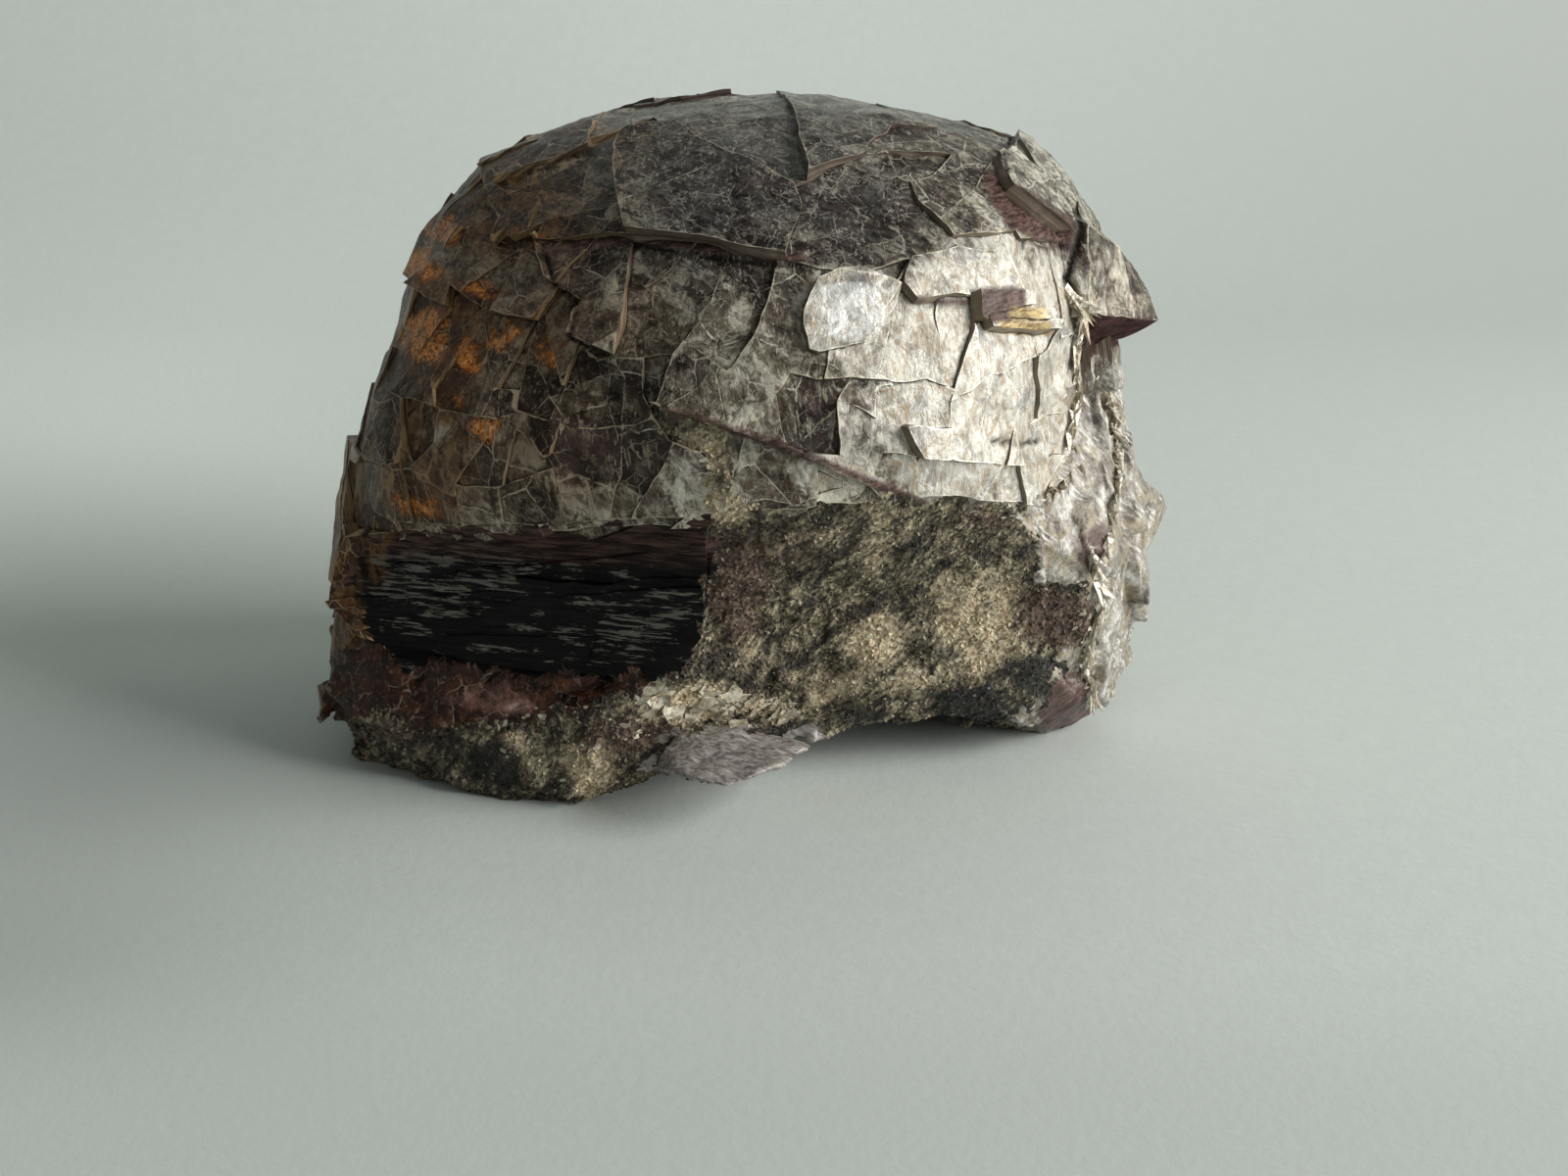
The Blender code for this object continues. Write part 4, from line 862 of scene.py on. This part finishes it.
def crumb_colour(f, shade, pick):
    """Black, umber, olive and tan in clouds and slanting streaks."""
    slant = f.stretched((1, 1, 0.38), -38)
    veil = f.clouds(2.6, 8, 0.76, 0.8, slant)
    body = veil + (shade - 0.5) * 0.15
    f.colour = body.ramp(0.42, 0.54, (0.019, 0.015, 0.01), (0.135, 0.112, 0.07))
    f.lay(body.band(0.52, 0.64), (0.42, 0.37, 0.25))
    umber = f.ragged("umber", veil, 1.2).band(0.4, 0.9)
    f.lay(umber * 0.8, shade.ramp(0.2, 1, (0.045, 0.025, 0.018), (0.15, 0.095, 0.07)))
    tan = f.ragged("tan", f.clouds(1.9, 7, 0.75, 0.5, slant), 2.4).band(0.45, 1)
    f.lay(tan * 0.92, pick.ramp(0.1, 0.9, (0.29, 0.215, 0.12), (0.7, 0.6, 0.42)))
    ink = f.ragged("ink", f.clouds(2.2, 7, 0.72, 0.6, slant), 2.2).band(0.45, 0.9)
    f.lay(ink * 0.88, (0.012, 0.012, 0.012))


def granular_finish():
    """Fine-grained mica: black, brown and tan grains, with pale tan patches."""
    f = Finish("granular mica")
    where = f.warped(0.7, 0.25)
    shade, pick, _ = f.parts(f.cells(CRUMB, output="Color", where=where))
    crumb_colour(f, shade, pick)
    f.relief(f.cells(CRUMB, where=where), 0.16, 0.7)
    f.relief(f.clouds(0.7, 5, 0.7), 0.5, 0.7)
    return f.done(shade.band(0, 1, 0.45, 0.8), ior=1.45)


def grain_finish():
    """The little tablets that stand out of the granular parts."""
    f = Finish("mica grains")
    island = f.island()
    pick = f.math("FRACT", island * 37)
    crumb_colour(f, island, pick)
    f.lay(pick.band(0.95, 0.97) * 0.35, (0.4, 0.36, 0.27))
    f.relief(f.clouds(0.3, 3), 0.05, 0.5)
    return f.done(pick.band(0, 1, 0.42, 0.8), ior=1.42)


def sheet_finish():
    """Loose pale sheets: cream mica, thin and cloudy."""
    f = Finish("pale sheets")
    f.colour = f.clouds(0.8, 6, 0.7).ramp(0.36, 0.64, (0.24, 0.2, 0.125), (0.6, 0.565, 0.45))
    f.lay(f.island().band(0.6, 1, 0, 0.7), (0.2, 0.175, 0.14))
    f.relief(f.clouds(0.6, 5, 0.7), 0.15, 0.6)
    return f.done(0.4, coat=0.2)


def blade_finish():
    """The right-hand pillar: cloudy silver-grey and tan mica with violet broken faces."""
    f = Finish("silver lumps")
    veil = f.clouds(3, 7, 0.7, 0.5, f.stretched((1, 1, 0.45), -24))
    fine = f.clouds(0.5, 5, 0.7, 0.4)
    body = veil * 0.72 + fine * 0.28
    f.colour = body.ramp(0.41, 0.51, (0.075, 0.06, 0.05), (0.28, 0.25, 0.21))
    f.lay(body.band(0.51, 0.61), (0.68, 0.66, 0.61))
    tan = f.clouds(3, 6, 0.74, 0.6).band(0.5, 0.58)
    f.lay(tan * 0.65, f.blend(fine, (0.16, 0.11, 0.055), (0.52, 0.43, 0.27)))
    rays = f.clouds(0.42, 4, 0.66, 0.3, f.stretched((1, 1, 0.07), 50))
    sheaf = f.clouds(4.2, 4, 0.6).band(0.46, 0.58)
    f.lay(rays.band(0.5, 0.6) * sheaf * 0.6, (0.84, 0.84, 0.82))
    f.lay(rays.band(0.46, 0.38) * sheaf * 0.6, (0.14, 0.11, 0.09))
    f.lay(f.ragged("umber", veil, 1.5).band(0.55, 0.75) * 0.8, (0.1, 0.06, 0.042))
    fibres = f.clouds(0.34, 4, 0.65, 0.3, f.stretched((1, 1, 0.1), -48))
    violet = fibres.ramp(0.36, 0.62, (0.04, 0.015, 0.012), (0.115, 0.054, 0.044))
    violet = f.blend(fibres.band(0.62, 0.68) * 0.6, violet, (0.4, 0.3, 0.25))
    f.lay(f.mask("violet") * 0.95, violet)
    f.relief(fine, 0.22, 0.7)
    f.relief(veil, 0.8, 0.6)
    return f.done(fine.band(0.3, 0.7, 0.24, 0.5), metal=0.12, coat=0.25, coat_roughness=0.14)


def ridge_finish():
    """Saw-toothed blades of clear pearly mica on the ridges."""
    f = Finish("pearly blades")
    stripes = f.clouds(0.3, 4, 0.65, 0.3, f.stretched((1, 1, 0.2), -20))
    f.colour = stripes.ramp(0.36, 0.62, (0.3, 0.24, 0.15), (0.88, 0.85, 0.76))
    f.lay(f.island().band(0.5, 1, 0, 0.75), (0.34, 0.26, 0.15))
    f.relief(stripes, 0.1, 0.7)
    return f.done(0.3, metal=0.2, coat=0.3)


def fan_finish():
    """The fan foot: lilac-grey sheets that spread from one corner."""
    f = Finish("lilac fan")
    rays = f.clouds(0.42, 4, 0.68, 0.25, f.stretched((1, 1, 0.045), 54))
    f.colour = rays.ramp(0.38, 0.62, (0.13, 0.11, 0.104), (0.37, 0.345, 0.32))
    f.lay(f.clouds(1.8, 5, 0.7).band(0.52, 0.66) * 0.6, (0.25, 0.205, 0.17))
    f.relief(rays, 0.15, 0.9)
    return f.done(0.38, coat=0.25)


def board_finish():
    """Matt painted board with a faint tooth, with broad areas of painted shade and painted light.
    """
    f = Finish("pale board")
    dimmer = tuple(0.97 * part for part in BOARD_COLOUR)
    f.colour = f.clouds(3, 5, 0.6).ramp(0.3, 0.7, dimmer, BOARD_COLOUR)
    across, along, _ = f.parts(f.place, "ShaderNodeSeparateXYZ")
    # Broad painted shade at the far right, the near left and the front of the floor, and painted
    # light on the left of the wall.
    far_right_painted_shade = across.band(-0.05, 0.25) * along.band(0.05, 0.3) * 0.9
    near_left_painted_shade = across.band(-0.02, -0.075) * along.band(0.02, -0.03) * 0.9
    wall_left_painted_light = across.band(-0.02, -0.12) * along.band(0.05, 0.13) * along.band(0.3, 0.16) * 0.9
    front = along.band(-0.055, -0.085)
    for share, tone in ((far_right_painted_shade, 0.63), (near_left_painted_shade, 0.66), (front, 0.9), (wall_left_painted_light, 1.22)):
        f.lay(share, tuple(tone * part for part in BOARD_COLOUR))
    f.relief(f.clouds(1.2, 4, 0.6), 0.08, 0.5)
    return f.done(0.75)


def add_object(name, data):
    """A new object in the scene."""
    thing = bpy.data.objects.new(name, data)
    bpy.context.scene.collection.objects.link(thing)
    return thing


def new_mesh(name, points, edges, faces):
    mesh = bpy.data.meshes.new(name)
    mesh.from_pydata(points, edges, faces)
    return mesh


def add_numbers(mesh, name, values, domain="POINT"):
    """Store one number for each point or face under a name."""
    layer = mesh.attributes.new(name, "FLOAT", domain)
    layer.data.foreach_set("value", np.ascontiguousarray(values, dtype=np.float32))


def make_stone(skin, finishes):
    """The stone's finished skin as one closed mesh."""
    facets = skin.facets
    mesh = new_mesh("stone", skin.points * MM, [], skin.faces)
    for name, values in skin_masks(skin).items():
        add_numbers(mesh, name, values)
    shades = np.random.default_rng(TONE_SEED).random((3, len(facets.faces)))
    for name, shade in zip(("tone", "lean_a", "lean_b"), shades):
        add_numbers(mesh, name, shade[facets.plates][skin.owners], "FACE")
    for finish in finishes:
        mesh.materials.append(finish)
    mesh.polygons.foreach_set("material_index", finish_numbers(skin))
    mesh.polygons.foreach_set("use_smooth", np.ones(len(mesh.polygons), bool))
    flag_sharp_edges(mesh, skin)
    mesh.validate()
    return add_object("stone", mesh)


def flag_sharp_edges(mesh, skin):
    """Mark the plates' edges sharp, so that only the plates themselves shade smoothly."""
    ends = np.empty(len(mesh.edges) * 2, int)
    mesh.edges.foreach_get("vertices", ends)
    keys = np.sort(ends.reshape(-1, 2), axis=1) @ [len(skin.points), 1]
    sharp = skin.edges[skin.sharp] @ [len(skin.points), 1]
    layer = mesh.attributes.new("sharp_edge", "BOOLEAN", "EDGE")
    layer.data.foreach_set("value", np.isin(keys, sharp))


def crust_host(stone):
    """A loose copy of the stone's granular triangles, with their numbers."""
    copy = stone.data.copy()
    wears = np.empty(len(copy.polygons), int)
    copy.polygons.foreach_get("material_index", wears)
    patch = bmesh.new()
    patch.from_mesh(copy)
    others = [face for face, wear in zip(patch.faces, wears)
              if wear != CRUST or face.calc_center_median().z < GRAIN_RADIUS]
    bmesh.ops.delete(patch, geom=others, context="FACES")
    patch.to_mesh(copy)
    patch.free()
    return add_object("host", copy)


class Growth(Graph):
    """A geometry tree that strews small pieces over a host, with a named input for each size."""

    def __init__(self, name, sizes):
        self.name, self.sizes = name, sizes
        self.tree = bpy.data.node_groups.new(name, "GeometryNodeTree")
        numbers = [(label, "INPUT", "Float") for label in sizes]
        for label, side, kind in [("Geometry", "INPUT", "Geometry"), *numbers,
                                  ("Geometry", "OUTPUT", "Geometry")]:
            self.tree.interface.new_socket(label, in_out=side, socket_type="NodeSocket" + kind)
        super().__init__(self.tree)
        self.inputs = self.nodes.new("NodeGroupInput").outputs

    def given(self, label):
        return Wire(self, self.inputs[label])

    def random(self, low, high, seed):
        """A random vector for each point, between two corners."""
        inputs = {"Min": low, "Max": high, "Seed": seed}
        return self.node("FunctionNodeRandomValue", inputs, "Value", data_type="FLOAT_VECTOR")

    def strew(self, points, rotation, piece, finish, turns, scales, seed):
        """Put a turned and scaled copy of a small piece on every point and end the tree."""
        turn = self.node("FunctionNodeEulerToRotation", (self.random(*turns, seed),))
        turned = self.node("FunctionNodeRotateRotation", {"Rotation": rotation, "Rotate By": turn},
                           rotation_space="LOCAL")
        placed = self.node("GeometryNodeInstanceOnPoints",
                           {"Points": points, "Instance": piece, "Rotation": turned,
                            "Scale": self.random(*scales, seed + 1)})
        real = self.node("GeometryNodeRealizeInstances", (placed,))
        worn = self.node("GeometryNodeSetMaterial", {"Geometry": real, "Material": finish})
        self.put(self.nodes.new("NodeGroupOutput").inputs[0], worn)

    def grow(self, host):
        """The plain mesh that the tree makes on a host, as a piece of its own."""
        modifier = host.modifiers.new("grow", "NODES")
        modifier.node_group = self.tree
        for item in self.tree.interface.items_tree:
            if item.in_out == "INPUT" and item.name in self.sizes:
                modifier[item.identifier] = self.sizes[item.name]
        graph = bpy.context.evaluated_depsgraph_get()
        mesh = bpy.data.meshes.new_from_object(host.evaluated_get(graph))
        mesh.name = self.name
        host.modifiers.remove(modifier)
        rough = host.data
        bpy.data.objects.remove(host)
        bpy.data.meshes.remove(rough)
        return add_object(self.name, mesh)


def make_grains(stone, finish):
    """Tablets of mica strewn over the granular parts."""
    growth = Growth("grains", GRAIN_SIZES)
    points, rotation = growth.node(
        "GeometryNodeDistributePointsOnFaces",
        {"Mesh": growth.given("Geometry"), "Density": growth.given("Grains a square metre"),
         "Seed": GRAIN_SEED}, ("Points", "Rotation"))
    tablet = growth.node("GeometryNodeMeshCylinder",
                         {"Vertices": 4, "Radius": growth.given("Radius"),
                          "Depth": growth.given("Depth")}, "Mesh")
    growth.strew(points, rotation, tablet, finish, *GRAIN_SPANS, GRAIN_SEED + 10)
    return growth.grow(crust_host(stone))


def make_ridges(surface, finish):
    """Thin blades in rows along the ridges of the pillar and the dome's right edge."""
    growth = Growth("ridges", BLADE_SIZES)
    path = growth.node("GeometryNodeMeshToCurve", {"Mesh": growth.given("Geometry")})
    steps = growth.node("GeometryNodeResampleCurve",
                        {"Curve": path, "Length": growth.given("Step")}, mode="LENGTH")
    tangent = growth.node("GeometryNodeInputTangent")
    along = growth.node("FunctionNodeAlignRotationToVector", {"Vector": tangent}, axis="Z")
    sizes = {"Vertices": 4, "Radius Top": 0, "Radius Bottom": growth.given("Blade width"),
             "Depth": growth.given("Blade height")}
    blade = growth.node("GeometryNodeMeshCone", sizes, "Mesh")
    growth.strew(steps, along, blade, finish, *BLADE_SPANS, BLADE_SEED)
    points, edges = [], []
    for line in RIDGE_LINES:
        edges += [(len(points) + i, len(points) + i + 1) for i in range(len(line) - 1)]
        points += [spot_behind(surface, x, y)[0] * MM for x, y in line]
    return growth.grow(add_object("host", new_mesh("ridge paths", points, edges, [])))


def spot_behind(surface, x, y):
    """Point and normal of the surface behind a picture point, in millimetres."""
    way = (Vector((1, 0, 0)) * (x - PICTURE_CENTRE[0]) * PIXEL / VIEW_DISTANCE
           - UPWARD * (y - PICTURE_CENTRE[1]) * PIXEL / VIEW_DISTANCE + FORWARD)
    place, normal, _, _ = surface.ray_cast(EYE, way.normalized())
    if place is None:
        place, normal, _, _ = surface.find_nearest(EYE + way * VIEW_DISTANCE)
    return place, normal


def sheet_corners(rng, largest):
    """Corners of one thin sheet that lies flat, in millimetres."""
    count = int(rng.integers(4, 8))
    size = largest * rng.uniform(0.3, 1)
    long, short = size * 0.62, size * rng.uniform(0.22, 0.5)
    turns = np.sort(rng.uniform(0, 0.8, count) + np.arange(count)) * math.tau / count
    reach = rng.uniform(0.55, 1.15, count)
    return [(long * r * math.cos(t), short * r * math.sin(t)) for r, t in zip(reach, turns)]


def make_sheets(surface, finish):
    """Loose pale sheets that lie on the crust and along the plates' broken edges."""
    rng = np.random.default_rng(SHEET_SEED)
    points, faces = [], []
    for x, y, width, height, count, largest in SHEET_AREAS:
        for _ in range(count):
            angle, reach = rng.uniform(0, math.tau), math.sqrt(rng.uniform())
            place, normal = spot_behind(surface, x + width * reach * math.cos(angle),
                                        y + height * reach * math.sin(angle))
            lean = Vector(rng.normal(0, SHEET_LEAN, 3))
            turn = (normal + lean).normalized().to_track_quat("Z", "Y")
            corners = sheet_corners(rng, largest)
            lift = rng.uniform(*SHEET_LIFT)
            first, size = len(points), len(corners)
            for level in (-0.5, 0.5):
                points += [(place + turn @ Vector((a, b, lift + level * SHEET_THICKNESS))) * MM
                           for a, b in corners]
            faces.append([first + i for i in reversed(range(size))])
            faces.append([first + size + i for i in range(size)])
            faces += [(first + i, first + (i + 1) % size, first + size + (i + 1) % size,
                       first + size + i) for i in range(size)]
    mesh = new_mesh("sheets", points, [], faces)
    mesh.materials.append(finish)
    return add_object("sheets", mesh)


def make_stage():
    """A pale floor that curves up into a pale wall behind the stone."""
    width, front, back, height, bend = 1.6, -0.7, 0.36, 0.9, 0.16
    profile = [(front, 0)]
    for step in range(17):
        angle = math.radians(90 * step / 16)
        profile.append((back - bend + bend * math.sin(angle), bend - bend * math.cos(angle)))
    profile.append((back, height))
    points = [(side * width, y, z) for y, z in profile for side in (-1, 1)]
    faces = [(i, i + 1, i + 3, i + 2) for i in range(0, len(points) - 2, 2)]
    mesh = new_mesh("studio floor", points, [], faces)
    mesh.polygons.foreach_set("use_smooth", [True] * len(mesh.polygons))
    mesh.materials.append(board_finish())
    floor = add_object("studio_floor", mesh)


def light_scene():
    """One large soft window at the right and a weak even fill."""
    data = bpy.data.lights.new("window", "AREA")
    data.energy, data.color, data.shape = WINDOW_POWER, WINDOW_COLOUR, "RECTANGLE"
    data.size, data.size_y = WINDOW_SIZE
    window = add_object("window", data)
    window.location = WINDOW_PLACE
    way = Vector(WINDOW_TARGET) - window.location
    window.rotation_euler = way.to_track_quat("-Z", "Y").to_euler()
    world = bpy.data.worlds.new("room")
    world.use_nodes = True
    sky = world.node_tree.nodes["Background"]
    sky.inputs["Color"].default_value = FILL_COLOUR
    sky.inputs["Strength"].default_value = FILL_STRENGTH
    bpy.context.scene.world = world
    bpy.context.scene.view_settings.view_transform = "Standard"


def place_camera():
    data = bpy.data.cameras.new("camera")
    data.sensor_width = SENSOR
    data.lens = SENSOR * VIEW_DISTANCE / (PICTURE_WIDTH * PIXEL)
    data.clip_start = 0.01
    camera = add_object("camera", data)
    camera.location = EYE * MM
    camera.rotation_euler = (math.radians(90) - VIEW_DROP, 0, 0)
    bpy.context.scene.camera = camera


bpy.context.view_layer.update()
place_camera()
noise.seed_set(NOISE_SEED)
skin = Skin(Facets(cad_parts[NODE].data))
shape_skin(skin)
surface = BVHTree.FromPolygons(skin.points.tolist(), skin.faces.tolist())
stone = make_stone(skin, [plate_finish(), edge_finish(), black_finish(), shelf_finish(),
                          granular_finish(), blade_finish(), fan_finish()])
for piece in (stone, make_grains(stone, grain_finish()), make_ridges(surface, ridge_finish()),
              make_sheets(surface, sheet_finish())):
    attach(piece, "root")
    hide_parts(NODE)
make_stage()
light_scene()
